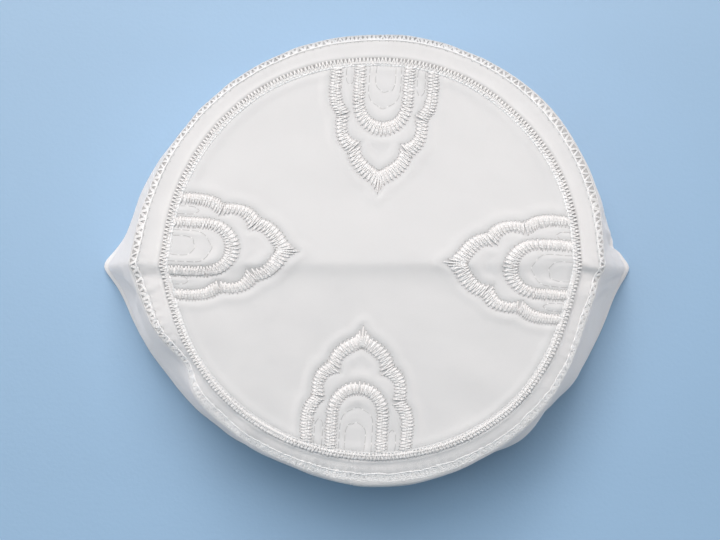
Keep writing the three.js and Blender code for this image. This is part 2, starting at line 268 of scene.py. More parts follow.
def smooth_curve(rows: Array, place: Array) -> Array:
    """Points on a smooth open curve through rows of numbers.

    Args:
        rows: The rows, at least two.
        place: Places on the curve, counted in rows from the first.

    Returns:
        A row of numbers for each place.
    """
    ends = np.vstack([2 * rows[0] - rows[1], rows, 2 * rows[-1] - rows[-2]])
    row = np.clip(np.floor(place).astype(int), 0, len(rows) - 2)
    return spline([ends[row + offset] for offset in range(4)], (place - row)[:, None])


@dataclass(frozen=True)
class Ripples:
    """Faint random waves in cloth, made of a few sine waves of seeded direction and phase."""

    seed: int
    longest: float
    shortest: float
    height: float
    count: int = 14

    def at(self, first: Array, second: Array) -> Array:
        """Height of the waves at places on the cloth, given in mm along two directions."""
        rng = np.random.default_rng(self.seed)
        total = np.zeros(np.broadcast(first, second).shape)
        for _ in range(self.count):
            length = math.exp(rng.uniform(math.log(self.shortest), math.log(self.longest)))
            turn, phase = rng.uniform(0, TAU, 2)
            across = first * math.cos(turn) + second * math.sin(turn)
            total += math.sqrt(length / self.longest) * np.sin(TAU * across / length + phase)
        return total * self.height / math.sqrt(self.count / 2)


@dataclass(frozen=True)
class CapForm:
    """The cap's surface: a shallow roof for a crown, and a band from its rim to the hem."""

    peak: float = 70.0
    ridge_end_fall: float = 1.6
    ridge_reach: float = 77.0
    ridge_y: float = -0.5
    ridge_rounding: float = 2.0
    back_slope: float = 0.085
    front_slope: float = 0.075
    front_sag: float = 2.9
    step_depth: float = 0.8
    step_width: float = 6.0
    shoulder_fall: float = 1.3
    shoulder_turn: float = 2.6
    seam_inset: float = 1.3
    ring_width: float = 2.7
    wall_belly: float = 0.8
    fold_depth: float = 0.8
    fold_width: float = 3.4
    fold_recovery: float = 16.0
    crease_rounding: float = 1.4
    crease_narrowing: float = 0.7
    normal_turn: float = 0.2
    normal_shift: float = 0.01

    def section(self, column: str, angle: Array) -> Array:
        """A column of SECTIONS at any angle, on a smooth closed curve through its rows."""
        values = np.array([getattr(row, column) for row in SECTIONS])
        place = (np.asarray(angle, float) % 360) * len(values) / 360
        row = np.floor(place).astype(int)
        around = [values[(row + offset) % len(values)] for offset in (-1, 0, 1, 2)]
        return spline(around, place - row)

    def crease_share(self, crease: Crease, angle: Array, narrowing: float = 1.0) -> Array:
        """How strongly a crease works at each angle, 1 on its line."""
        away = turn_between(crease.at, np.asarray(angle, float))
        width = np.where(away < 0, crease.before, crease.after) * narrowing
        rounding = self.crease_rounding
        return np.exp((rounding - np.hypot(away, rounding)) / width)

    def ring_radius(self, angle: Array) -> Array:
        """Radius of the satin ring's outer edge."""
        creases = (c.ring * self.crease_share(c, angle, self.crease_narrowing) for c in CREASES)
        return self.section("ring", angle) + sum(creases)

    def shoulder_radius(self, angle: Array) -> Array:
        """Radius of the corner that the shoulder turns round."""
        creases = (c.shoulder * self.crease_share(c, angle, self.crease_narrowing) for c in CREASES)
        dents = (dent.inward * swell(dent.at, dent.width, angle) for dent in DENTS)
        return self.section("shoulder", angle) + sum(creases) - sum(dents)

    def hem_radius(self, angle: Array) -> Array:
        """Radius of the hem's outer edge."""
        return self.section("hem", angle) + sum(c.hem * self.crease_share(c, angle) for c in CREASES)

    def crown_height(self, x: Array, y: Array) -> Array:
        """Height of the crown's upper face, without the relief that stitching gives it."""
        across = y - self.ridge_y
        rounded = np.hypot(across, self.ridge_rounding) - self.ridge_rounding
        slope = np.where(across > 0, self.back_slope, self.front_slope)
        step = np.where(across < 0, self.step_depth * (1 - bell(across, self.step_width)), 0)
        sag = np.where(across < 0, self.front_sag * (across / self.ridge_reach) ** 2, 0)
        fall = self.ridge_end_fall * (x / self.ridge_reach) ** 2
        return self.peak - fall - slope * rounded - step - sag

    def fold(self, y: Array) -> Array:
        """Depth of the sharp valley that the old fold keeps just in front of the ridge."""
        front = np.maximum(self.ridge_y - y, 0)
        valley = self.fold_depth * (1 - bell(front, self.fold_width))
        return valley * np.exp(-front / self.fold_recovery)

    def on_crown(self, radius: Array, angle: Array, rise: Array | float = 0.0) -> Array:
        """Points above the crown, at radii and angles."""
        points = polar(radius, angle)
        points[..., 2] = self.crown_height(points[..., 0], points[..., 1]) + rise
        return points

    def on_band(self, angle: Array, place: Array) -> Array:
        """Points on the band's outer face, without its relief.

        Args:
            angle: Directions from the cap's middle.
            place: 0 at the joint under the satin ring, 1 where the shoulder starts to turn,
                2 where the turn ends and 3 at the hem.

        Returns:
            The points, in mm.
        """
        angle, place = np.broadcast_arrays(np.asarray(angle, float), np.asarray(place, float))
        joint = self.on_crown(self.ring_radius(angle) - self.seam_inset, angle)
        drops = sum(dent.drop * swell(dent.at, dent.width, angle) for dent in DENTS)
        shoulder = self.on_crown(self.shoulder_radius(angle), angle, -self.shoulder_fall - drops)
        hem = polar(self.hem_radius(angle), angle)
        turn_start = shoulder + unit(joint - shoulder) * self.shoulder_turn
        turn_end = shoulder + unit(hem - shoulder) * self.shoulder_turn
        rim = mix(joint, turn_start, place)
        share = np.clip(place - 1, 0, 1)
        turn = mix(mix(turn_start, shoulder, share), mix(shoulder, turn_end, share), share)
        down = np.clip(place - 2, 0, 1)
        folds = sum(
            f.out * swell(f.at, f.width, angle) * self.wall_share(down, f.down) for f in WALL_FOLDS
        )
        out = self.wall_belly * np.sin(math.pi * down) + folds
        wall = mix(turn_end, hem, down) + polar(out, angle)
        at = place[..., None]
        return np.where(at <= 1, rim, np.where(at <= 2, turn, wall))

    @staticmethod
    def wall_share(down: Array, deepest: float) -> Array:
        """Share of a fold's depth so far down the wall."""
        stretched = np.where(down < deepest, down / deepest, (1 - down) / (1 - deepest))
        return np.sin(math.pi / 2 * stretched) ** 2

    def band_normal(self, angle: Array, place: Array) -> Array:
        """Directions that the band's outer face looks in."""
        turn, shift = self.normal_turn, self.normal_shift
        along = self.on_band(angle + turn, place) - self.on_band(angle - turn, place)
        lower = self.on_band(angle, np.minimum(place + shift, 3.0))
        upper = self.on_band(angle, np.maximum(place - shift, 0.0))
        return unit(np.cross(lower - upper, along))


FORM = CapForm()


@dataclass(frozen=True)
class BandRuler:
    """Measures lengths down the band, from place to distance and back, at any angle."""

    form: CapForm = FORM
    angle_step: float = 1.0
    samples: int = 301
    tables: dict[str, Array] = field(default_factory=dict)

    def __post_init__(self) -> None:
        """Walks down the band once at every step of the angle."""
        angles = np.arange(0, 360 + self.angle_step, self.angle_step)
        places = np.linspace(0, 3, self.samples)
        points = self.form.on_band(angles[:, None], places[None, :])
        steps = np.linalg.norm(np.diff(points, axis=1), axis=-1)
        self.tables["places"] = places
        self.tables["lengths"] = np.hstack([np.zeros((len(angles), 1)), np.cumsum(steps, axis=1)])
        self.tables["radii"] = np.hypot(points[..., 0], points[..., 1])

    def row(self, table: str, angle: float) -> Array:
        """A table's row at an angle, between its two nearest rows."""
        place = (angle % 360) / self.angle_step
        row = int(place)
        rows = self.tables[table]
        return rows[row] + (rows[row + 1] - rows[row]) * (place - row)

    def length_at(self, angle: Array, place: Array) -> Array:
        """Lengths along the band from the joint to places."""
        pairs = zip(np.ravel(angle), np.ravel(place))
        places = self.tables["places"]
        found = [np.interp(spot, places, self.row("lengths", turn)) for turn, spot in pairs]
        return np.reshape(found, np.shape(place))

    def place_at(self, angle: Array, length: Array) -> Array:
        """Places on the band at lengths from the joint."""
        pairs = zip(np.ravel(angle), np.ravel(length))
        places = self.tables["places"]
        found = [np.interp(reach, self.row("lengths", turn), places) for turn, reach in pairs]
        return np.reshape(found, np.shape(length))

    def hem_length(self, angle: Array) -> Array:
        """Whole lengths of the band, from the joint to the hem."""
        return self.length_at(angle, np.full(np.shape(angle), 3.0))

    def zigzag_start(self, angle: Array) -> Array:
        """Lengths from the joint at which the zigzag's inner points lie."""
        found = []
        for turn in np.ravel(angle):
            inner = self.form.shoulder_radius(turn) - self.form.section("zigzag", turn)
            rim = slice(0, 2 * self.samples // 3)
            radii, lengths = (self.row(table, turn)[rim] for table in ("radii", "lengths"))
            found.append(np.interp(inner, radii, lengths))
        return np.reshape(found, np.shape(angle))


RULER = BandRuler()


# ---- The quilted pattern --------------------------------------------------------------------


class Rib(NamedTuple):
    """The ends of one rib across a satin column: u from the arch's axis, v from the ring."""

    outer: tuple[float, float]
    inner: tuple[float, float]


class Stretch(NamedTuple):
    """A stretch of satin column between cusps, on one side of an arch, from foot to tip."""

    name: str
    pitch: float
    unevenness: float
    ribs: tuple[Rib, ...]


LOBED_ARCH = (
    Stretch("leg", 1.15, 1.0, (
        Rib((20.0, 0.0), (15.9, 0.0)),
        Rib((20.4, 6.0), (16.2, 6.0)),
        Rib((20.3, 11.0), (15.9, 10.4)),
        Rib((19.4, 15.0), (14.6, 13.9)),
        Rib((17.2, 18.2), (12.0, 16.9)),
    )),
    Stretch("lobe", 1.3, 0.6, (
        Rib((17.2, 18.7), (12.2, 17.6)),
        Rib((17.1, 22.4), (13.0, 21.4)),
        Rib((16.3, 26.0), (12.1, 24.2)),
        Rib((14.6, 28.8), (10.0, 25.9)),
        Rib((12.2, 30.8), (6.9, 26.8)),
    )),
    Stretch("point", 1.4, 0.3, (
        Rib((12.1, 31.2), (7.2, 27.5)),
        Rib((10.8, 34.2), (6.7, 31.0)),
        Rib((8.5, 37.0), (4.5, 33.3)),
        Rib((5.6, 39.2), (2.3, 34.8)),
        Rib((2.4, 41.2), (0.7, 35.7)),
        Rib((0.0, 44.4), (0.0, 36.0)),
    )),
)
ROUND_ARCH = (
    Stretch("leg", 1.15, 1.0, (
        Rib((11.2, 0.0), (7.2, 0.0)),
        Rib((11.3, 7.0), (7.2, 7.0)),
        Rib((11.2, 13.6), (7.1, 12.8)),
    )),
    Stretch("head", 1.4, 0.4, (
        Rib((11.2, 13.6), (7.1, 12.8)),
        Rib((10.1, 17.8), (6.2, 15.6)),
        Rib((7.2, 21.5), (4.3, 17.9)),
        Rib((3.6, 23.7), (2.1, 18.9)),
        Rib((0.0, 24.4), (0.0, 19.2)),
    )),
)
QUILT_LINES = (
    ((-6.2, 0.0), (-6.2, 5.0), (-6.0, 9.4), (-5.2, 11.6), (-3.8, 13.0), (-2.0, 13.9), (0.0, 14.9),
     (2.1, 13.9), (3.8, 13.0), (5.2, 11.4), (5.7, 9.2), (5.7, 5.0), (5.7, 0.0)),
    ((-4.0, 0.0), (-4.1, 4.4), (-3.9, 6.4), (-3.0, 8.4), (-1.6, 8.6), (0.0, 9.2),
     (1.6, 8.3), (2.9, 7.0), (3.3, 5.0), (3.3, 2.4), (3.0, 0.0)),
    ((-15.2, 0.0), (-15.3, 4.0), (-15.2, 7.8), (-14.7, 8.9), (-13.8, 10.0), (-12.9, 9.0),
     (-12.4, 7.8), (-12.3, 4.0), (-12.4, 0.0)),
    ((14.3, 0.0), (14.4, 3.0), (14.2, 5.8), (13.7, 6.6), (12.9, 7.4), (12.1, 6.6),
     (11.6, 5.8), (11.5, 3.0), (11.6, 0.0)),
)


@dataclass(frozen=True)
class Motif:
    """One pair of arches on the disc, from the middle of its foot to its tip."""

    name: str
    foot: tuple[float, float]
    tip: tuple[float, float]
    half_width: float
    form: CapForm = FORM
    drawn_half_width: float = 20.4
    drawn_length: float = 44.4
    ring_clearance: float = 0.3
    search: float = 8.0
    halvings: int = 30

    def place(self, local: Array) -> Array:
        """Turns the arches' own u and v into x and y on the disc."""
        foot, tip = np.array(self.foot), np.array(self.tip)
        axis = tip - foot
        stretch = np.linalg.norm(axis) / self.drawn_length
        axis = axis / np.linalg.norm(axis)
        side = np.array([axis[1], -axis[0]]) * self.half_width / self.drawn_half_width
        return foot + local[..., 1:] * stretch * axis + local[..., :1] * side

    def meet_ring(self, local: Array) -> Array:
        """Moves a point along v until it lies just inside the satin ring."""
        low, high = -self.search, self.search
        for _ in range(self.halvings):
            middle = (low + high) / 2
            x, y = self.place(np.array([local[0], middle]))
            edge = self.form.ring_radius(np.degrees(np.arctan2(y, x))) - self.form.ring_width
            if edge - self.ring_clearance < math.hypot(x, y):
                low = middle
            else:
                high = middle
        return np.array([local[0], high])


FINE_STEPS = 240  # points on a stretch of column while it is measured
OUTLINE_STEPS = 14  # points on each side of a stretch in an arch's outline
OUTER_WEIGHT = 1.3  # the outer edge's share of the line that stitches are counted on, out of 2
MOTIFS = (
    Motif("back", (6.6, 70.5), (3.6, 23.8), 19.7),
    Motif("left", (-71.9, 5.4), (-24.3, 3.3), 19.4),
    Motif("front", (-4.3, -68.0), (-1.4, -23.4), 20.4),
    Motif("right", (75.3, -4.0), (27.0, -0.5), 19.8),
)


def column_middle(outer: Array, inner: Array) -> Array:
    """The line on which a column's stitches are counted, nearer its outer edge."""
    return (outer * OUTER_WEIGHT + inner * (2 - OUTER_WEIGHT)) / 2


def column_sides(motif: Motif, stretch: Stretch, sign: int, samples: int) -> tuple[Array, Array]:
    """The two edges of a stretch of satin column, evenly sampled from foot to tip.

    Args:
        motif: Where the arch stands.
        stretch: The stretch of column.
        sign: -1 for the arch's left side and 1 for its right side.
        samples: How many pairs of points.

    Returns:
        The outer edge's and the inner edge's points, in x and y.
    """
    sides = []
    for edge in ("outer", "inner"):
        rows = np.array([getattr(rib, edge) for rib in stretch.ribs]) * (sign, 1)
        if rows[0, 1] == 0:
            rows[0] = motif.meet_ring(rows[0])
        sides.append(rows)
    fine = np.linspace(0, len(stretch.ribs) - 1, FINE_STEPS)
    lengths = path_lengths(column_middle(*(smooth_curve(rows, fine) for rows in sides)))
    even = np.interp(np.linspace(0, lengths[-1], samples), lengths, fine)
    return tuple(motif.place(smooth_curve(rows, even)) for rows in sides)


def column_count(stretch: Stretch) -> int:
    """How many V stitches a stretch of column takes."""
    outer = np.array([rib.outer for rib in stretch.ribs])
    inner = np.array([rib.inner for rib in stretch.ribs])
    return round(path_lengths(column_middle(outer, inner))[-1] / stretch.pitch)


def arch_outline(motif: Motif, arch: Sequence[Stretch]) -> Array:
    """The closed outline of an arch's whole satin column, in x and y."""
    halves = []
    for sign in (-1, 1):
        pairs = [column_sides(motif, stretch, sign, OUTLINE_STEPS) for stretch in arch]
        outer, inner = (np.vstack([pair[edge] for pair in pairs]) for edge in (0, 1))
        halves.append((outer, inner))
    left, right = halves
    return np.vstack([left[0], right[0][::-1], right[1], left[1][::-1]])


def distance_to_path(points: Array, path: Array) -> Array:
    """Shortest distances in the plane from points to a path of straight pieces."""
    best = np.full(len(points), np.inf)
    for start, end in zip(path[:-1], path[1:]):
        along = end - start
        share = np.clip((points - start) @ along / max(along @ along, 1e-9), 0, 1)
        gap = points - start - share[:, None] * along
        best = np.minimum(best, np.einsum("ij,ij->i", gap, gap))
    return np.sqrt(best)


def inside_outline(points: Array, outline: Array) -> Array:
    """Whether points in the plane lie inside a closed outline."""
    inside = np.zeros(len(points), bool)
    x, y = points[:, 0], points[:, 1]
    for (x1, y1), (x2, y2) in zip(outline, np.roll(outline, -1, axis=0)):
        if y1 == y2:
            continue
        crosses = (y1 > y) != (y2 > y)
        inside ^= crosses & (x < (x2 - x1) * (y - y1) / (y2 - y1) + x1)
    return inside


@dataclass(frozen=True)
class CrownRelief:
    """The low relief of the quilted disc: sunk stitching, and cloth that puffs up beside it; and
    painted shade under the stitching.
    """

    sink: float = 0.3
    puff: float = 0.38
    puff_at: float = 1.9
    puff_width: float = 1.7
    groove: float = 0.22
    groove_width: float = 0.8
    edge_fade: float = 0.25
    motif_middle: float = 20.0
    motif_reach: float = 42.0
    ring_puff: float = 0.3
    ring_puff_at: float = 2.0
    ring_puff_width: float = 1.6
    shade: float = 0.5
    waves: Ripples = Ripples(seed=4, longest=46, shortest=13, height=0.18)
    grain: Ripples = Ripples(seed=9, longest=9, shortest=3.5, height=0.018)

    def at(self, points: Array, form: CapForm = FORM) -> tuple[Array, Array]:
        """The relief at points of the disc.

        Args:
            points: Points in x and y.
            form: The cap's form, for the ring.

        Returns:
            How far the cloth stands above the smooth disc, and how much painted shade it takes,
            from 0 in open cloth to 1 under a satin column or the ring, times shade.
        """
        x, y = points[:, 0], points[:, 1]
        height = self.waves.at(x, y) + self.grain.at(x, y) - form.fold(y)
        depth = np.zeros(len(points))
        for motif in MOTIFS:
            middle = motif.place(np.array([0.0, self.motif_middle]))
            near = np.flatnonzero(np.linalg.norm(points - middle, axis=1) < self.motif_reach)
            close = points[near]
            gap = np.full(len(near), np.inf)
            for arch in (LOBED_ARCH, ROUND_ARCH):
                outline = arch_outline(motif, arch)
                distance = distance_to_path(close, np.vstack([outline, outline[:1]]))
                gap = np.minimum(gap, np.where(inside_outline(close, outline), -distance, distance))
            under = falling(gap, self.edge_fade)
            height[near] += self.puff * bell(gap - self.puff_at, self.puff_width) - self.sink * under
            depth[near] = np.maximum(depth[near], under)
            for line in QUILT_LINES:
                distance = distance_to_path(close, motif.place(np.array(line)))
                height[near] -= self.groove * bell(distance, self.groove_width)
        angle = np.degrees(np.arctan2(y, x))
        from_ring = form.ring_radius(angle) - form.ring_width - np.hypot(x, y)
        under_ring = falling(from_ring, self.edge_fade)
        height += self.ring_puff * bell(from_ring - self.ring_puff_at, self.ring_puff_width)
        height -= self.sink * under_ring
        # painted shade: the cloth is darkened under the columns and the ring
        return height, np.maximum(depth, under_ring) * self.shade


HEM_LINE = 8.0  # height of the hem's stitches above its edge
ZIGZAG_WIDTH = 3.0  # from its inner points to its outer points, over the turn of the shoulder


class Lead(NamedTuple):
    """How the zigzag is worked at an angle.

    Its second and third rounds run so many Vs ahead of the first. It is more or less uneven, its
    stitches lie more or less low in the cloth, with painted shade on its threads, on that cloth and
    on the satin ring in step, and its two strands lie so far from their middle.
    """

    at: float
    second: float
    third: float
    loose: float
    deep_and_shaded: float
    apart: float


LEADS = (
    Lead(0, 0.06, 0.0, 0.10, 0.9, 0.14),
    Lead(62, 0.06, 0.0, 0.10, 0.9, 0.14),
    Lead(74, 0.50, 0.0, 0.12, 1.0, 0.12),
    Lead(92, 0.50, 0.0, 0.10, 1.0, 0.12),
    Lead(102, 0.08, 0.0, 0.08, 1.0, 0.16),
    Lead(142, 0.08, 0.0, 0.08, 1.0, 0.16),
    Lead(154, 0.08, 0.0, 0.10, 1.0, 0.14),
    Lead(178, 0.10, 0.0, 0.15, 1.0, 0.14),
    Lead(198, 0.20, 0.1, 0.30, 0.8, 0.14),
    Lead(225, 0.65, 0.3, 0.40, 0.0, 0.2),
    Lead(256, 0.35, 0.7, 0.40, 0.0, 0.18),
    Lead(282, 0.20, 0.5, 0.30, 0.0, 0.18),
    Lead(310, 0.60, 0.3, 0.40, 0.0, 0.18),
    Lead(340, 0.30, 0.1, 0.30, 0.35, 0.16),
    Lead(360, 0.06, 0.0, 0.10, 0.9, 0.16),
)


def zigzag_work(column: str, angle: Array) -> Array:
    """A column of LEADS at any angle."""
    places = [lead.at for lead in LEADS]
    values = [getattr(lead, column) for lead in LEADS]
    return np.interp(np.asarray(angle, float) % 360, places, values)


@dataclass(frozen=True)
class BandRelief:
    """The low relief of the band: puckers at its stitching, wrinkles, the joint and the hem; and
    painted shade under the ring, in the zigzag's bed and in the hem's groove.
    """

    ring_edge: float = 0.95
    sink: float = 0.35
    puff: float = 0.22
    puff_at: float = 0.9
    puff_width: float = 0.8
    edge_fade: float = 0.25
    zigzag_sink: float = 0.15
    beside: float = 1.6
    beside_inner: float = 1.3
    beside_outer: float = 1.6
    beside_share: float = 0.6
    edge_rise: float = 0.16
    edge_shift: float = 0.1
    edge_width: float = 0.55
    least_edge: float = 0.2
    bed_inset: float = 0.45
    pucker: float = 0.08
    pucker_count: int = 150
    pucker_change: float = 0.6
    pucker_swells: int = 5
    pucker_at: float = 0.8
    pucker_width: float = 2.2
    joint_at: float = 266.0
    calm_width: float = 3.0
    joint_radius: float = 80.0
    joint_step: float = 0.12
    joint_rise: float = 0.35
    joint_fall: float = 0.8
    joint_groove: float = 0.12
    joint_groove_at: float = 0.2
    joint_groove_width: float = 0.6
    joint_width: float = 6.0
    corner_spread: float = 2.0
    hem_groove: float = 0.5
    hem_groove_width: float = 0.7
    hem_spread: float = 1.8
    hem_shade: float = 0.55
    hem_shade_width: float = 0.5
    hem_puff: float = 0.25
    hem_puff_width: float = 0.9
    way_round: float = 520.0
    waves: Ripples = Ripples(seed=21, longest=34, shortest=10, height=0.16)
    grain: Ripples = Ripples(seed=23, longest=8, shortest=3.5, height=0.02)

    def at(self, angle: Array, place: Array, form: CapForm = FORM) -> tuple[Array, Array]:
        """The relief at places on the band.

        Args:
            angle: Directions from the cap's middle, as a grid's columns.
            place: Places down the band, as the same grid's rows.
            form: The cap's form.

        Returns:
            How far the cloth stands out of the smooth band, and how much painted shade it takes.
        """
        columns = angle[0]
        places = RULER.tables["places"]
        rows = [
            np.interp(place[:, number], places, RULER.row("lengths", turn))
            for number, turn in enumerate(columns)
        ]
        length = np.stack(rows, axis=1)
        across = length - RULER.zigzag_start(columns)[None, :]
        from_hem = RULER.hem_length(columns)[None, :] - length
        under_ring = falling(length - self.ring_edge, self.edge_fade)
        height = self._waves(angle, length)
        height -= form.fold(form.on_band(angle, place)[..., 1]) * np.clip(2 - place, 0, 1)
        height += self.puff * bell(length - self.ring_edge - self.puff_at, self.puff_width)
        height += self._zigzag(angle, across) - self.sink * under_ring
        height += self._wrinkles(angle, place) + self._joint(angle)
        corner = sum(form.crease_share(crease, columns, self.corner_spread) for crease in CREASES)
        rise, seam = self._hem(from_hem, corner[None, :])
        # painted shade in the zigzag's bed, as strong as LEADS give at each angle
        bed = falling(self.bed_inset - across, self.edge_fade)
        bed = bed * falling(across - ZIGZAG_WIDTH - self.bed_inset, self.edge_fade)
        depth = np.maximum(np.maximum(under_ring, seam), bed * zigzag_work("deep_and_shaded", angle))
        return height + rise, depth

    def _waves(self, angle: Array, length: Array) -> Array:
        """Faint waves and grain, which fade out where the band is joined."""
        way = (self.joint_at + (angle - self.joint_at) % 360) / 360 * self.way_round
        calm = 1 - bell(turn_between(self.joint_at, angle), self.calm_width)
        return (self.waves.at(way, length) + self.grain.at(way, length)) * calm

    def _zigzag(self, angle: Array, across: Array) -> Array:
        """The sunk bed of the zigzag, the cloth that puffs up beside it, and its puckers."""
        beyond = across - ZIGZAG_WIDTH
        height = -self.zigzag_sink * bell(across - ZIGZAG_WIDTH / 2, ZIGZAG_WIDTH / 2)
        beside = bell(across + self.beside, self.beside_inner)
        beside = beside + bell(beyond - self.beside, self.beside_outer)
        height += self.puff * self.beside_share * beside
        edges = bell(across + self.edge_shift, self.edge_width) + bell(beyond, self.edge_width)
        height += self.edge_rise * edges * np.clip(zigzag_work("deep_and_shaded", angle), self.least_edge, 1)
        turn = np.radians(angle)
        waves = np.sin(turn * self.pucker_count)
        waves *= 1 - self.pucker_change * np.sin(turn * self.pucker_swells)
        return height + self.pucker * waves * bell(across + self.pucker_at, self.pucker_width)

    @staticmethod
    def _wrinkles(angle: Array, place: Array) -> Array:
        """The short wrinkles of the table."""
        height = np.zeros(place.shape)
        for wrinkle in WRINKLES:
            down = place - wrinkle.place
            aside = turn_between(wrinkle.at, angle - wrinkle.lean * down)
            height += wrinkle.height * bell(aside, wrinkle.width) * bell(down, wrinkle.reach)
        return height

    def _joint(self, angle: Array) -> Array:
        """The lapped cloth where the band's two ends are joined."""
        aside = turn_between(self.joint_at, angle) * math.radians(1) * self.joint_radius
        flap = falling(-aside, self.joint_rise) * falling(aside - self.joint_width, self.joint_fall)
        groove = bell(aside + self.joint_groove_at, self.joint_groove_width)
        return self.joint_step * flap - self.joint_groove * groove

    def _hem(self, from_hem: Array, corner: Array) -> tuple[Array, Array]:
        """The groove of the hem's stitches, wider at the corners, with painted shade in it, and the
        puff below it.

        Args:
            from_hem: Lengths along the band from the hem.
            corner: How strongly the corner creases work.

        Returns:
            How far the cloth stands out, and the painted shade in the groove.
        """
        groove = bell(from_hem - HEM_LINE, self.hem_groove_width + self.hem_spread * corner)
        puff = bell(from_hem - HEM_LINE / 2, self.hem_puff_width + corner)
        height = (1 + corner) * (self.hem_puff * puff - self.hem_groove * groove)
        seam = bell(from_hem - HEM_LINE, self.hem_shade_width + self.hem_spread * corner / 2)
        return height, self.hem_shade * seam


# ---- Finishes -------------------------------------------------------------------------------


class Wire:
    """A socket, or a number, in an expression that adds Math nodes."""

    def __init__(self, graph: "Graph", value: Any) -> None:
        """Wraps an output socket of a graph."""
        self.graph = graph
        self.value = value

    def _maths(self, operation: str, *values: Any) -> "Wire":
        """Adds a Math node and gives its result."""
        node = self.graph.add("ShaderNodeMath", dict(enumerate(values)), operation=operation)
        return Wire(self.graph, node.outputs[0])

    def __add__(self, other: Any) -> "Wire":
        """Sum."""
        return self._maths("ADD", self, other)

    def __sub__(self, other: Any) -> "Wire":
        """Difference."""
        return self._maths("SUBTRACT", self, other)

    def __mul__(self, other: Any) -> "Wire":
        """Product."""
        return self._maths("MULTIPLY", self, other)

    def sine(self) -> "Wire":
        """Sine of the value."""
        return self._maths("SINE", self)


class Graph:
    """A material's nodes, around one Principled shader."""

    def __init__(self, name: str, **constants: Any) -> None:
        """Makes a material with the shader's constant sockets set.

        Args:
            name: The material's name.
            constants: Socket names, with _ for spaces, and their values.
        """
        self.material = bpy.data.materials.new(name)
        self.material.use_nodes = True
        self.tree = self.material.node_tree
        self.tree.nodes.clear()
        self.shader = self.add("ShaderNodeBsdfPrincipled")
        for key, value in constants.items():
            self.shader.inputs[key.replace("_", " ")].default_value = value
        output = self.add("ShaderNodeOutputMaterial")
        self.tree.links.new(self.shader.outputs["BSDF"], output.inputs["Surface"])

    def add(self, kind: str, sockets: Mapping[Any, Any] | None = None, **settings: Any) -> Any:
        """Adds a node.

        Args:
            kind: The node's type.
            sockets: Input names or numbers, with a wire or a constant for each.
            settings: The node's own settings; stops gives a colour ramp's places and colours.

        Returns:
            The node.
        """
        node = self.tree.nodes.new(kind)
        for name, value in settings.items():
            if name == "stops":
                ramp = node.color_ramp
                while len(ramp.elements) < len(value):
                    ramp.elements.new(0.5)
                for element, (place, colour) in zip(ramp.elements, value):
                    element.position, element.color = place, colour
            else:
                setattr(node, name, value)
        for key, value in (sockets or {}).items():
            if isinstance(value, Wire):
                self.tree.links.new(value.value, node.inputs[key])
            else:
                node.inputs[key].default_value = value
        return node

    def wire(self, node: Any, output: str | int = 0) -> Wire:
        """One output of a node, for an expression or a link."""
        return Wire(self, node.outputs[output])

    def attribute(self, name: str) -> Wire:
        """A number stored on the mesh."""
        return self.wire(self.add("ShaderNodeAttribute", attribute_name=name), "Fac")

    def noise(self, scale: float, detail: float = 3.0, place: Wire | None = None) -> Wire:
        """Noise in Object coordinates, or in others that are given."""
        if place is None:
            place = self.wire(self.add("ShaderNodeTexCoord"), "Object")
        sockets = {"Vector": place, "Scale": scale, "Detail": detail}
        return self.wire(self.add("ShaderNodeTexNoise", sockets), "Fac")

    def blend(self, share: Wire, first: Sequence[float], second: Sequence[float]) -> Wire:
        """A colour between two colours."""
        sockets = {0: share, 6: (*first, 1.0), 7: (*second, 1.0)}
        return self.wire(self.add("ShaderNodeMix", sockets, data_type="RGBA"), 2)

    def colour(self, colour: Wire) -> None:
        """Links the shader's base colour."""
        self.tree.links.new(colour.value, self.shader.inputs["Base Color"])

    def bump(self, height: Wire, distance: float, strength: float = 1.0) -> None:
        """Links a bump of so many metres to the shader's normal."""
        sockets = {"Height": height, "Distance": distance, "Strength": strength}
        node = self.add("ShaderNodeBump", sockets)
        self.tree.links.new(node.outputs["Normal"], self.shader.inputs["Normal"])


@dataclass(frozen=True)
class CottonFinish:
    """White poplin: a fine plain weave, matt, with faint cloudiness, and painted shade in its grooves.
    """

    light: tuple[float, float, float] = (0.85, 0.833, 0.83)
    cloud: tuple[float, float, float] = (0.815, 0.798, 0.795)
    # painted shade: grey mixed into the cloth in grooves, under stitching and at the hem
    groove: tuple[float, float, float] = (0.50, 0.487, 0.484)
    thread_pitch: float = 0.42
    weave_depth: float = 0.00006
    roughness: float = 0.93
    sheen: float = 0.25
    sheen_roughness: float = 0.5
    specular: float = 0.25
    grain_scale: float = 90.0
    grain_height: float = 1.4
    speckle_scale: float = 14.0
    cloud_scale: float = 28.0

    def material(self) -> bpy.types.Material:
        """Builds the material; it reads the cloth's own UV map, in centimetres."""
        sheen = {"Sheen_Weight": self.sheen, "Sheen_Roughness": self.sheen_roughness}
        graph = Graph("cotton_poplin", Roughness=self.roughness, **sheen)
        graph.shader.inputs["Specular IOR Level"].default_value = self.specular
        uv = graph.wire(graph.add("ShaderNodeUVMap", uv_map="cloth"))
        split = graph.add("ShaderNodeSeparateXYZ", {0: uv})
        turns = TAU * 10 / self.thread_pitch
        warp = (graph.wire(split, "X") * turns).sine()
        weft = (graph.wire(split, "Y") * turns).sine()
        grain = graph.noise(self.grain_scale, 4.0, uv)
        graph.bump(warp * weft * 0.5 + grain * self.grain_height, self.weave_depth)
        clouds = graph.noise(self.cloud_scale, 4.0)
        speckle = graph.noise(self.speckle_scale, 3.0, uv)
        share = clouds * 0.5 + grain * 0.4 + speckle * 0.6 - 0.25
        cloth = graph.blend(share, self.light, self.cloud)
        # painted shade: the groove colour is mixed in by the depth attribute
        sockets = {0: graph.attribute("depth"), 6: cloth, 7: (*self.groove, 1.0)}
        node = graph.add("ShaderNodeMix", sockets, data_type="RGBA")
        graph.colour(graph.wire(node, 2))
        return graph.material


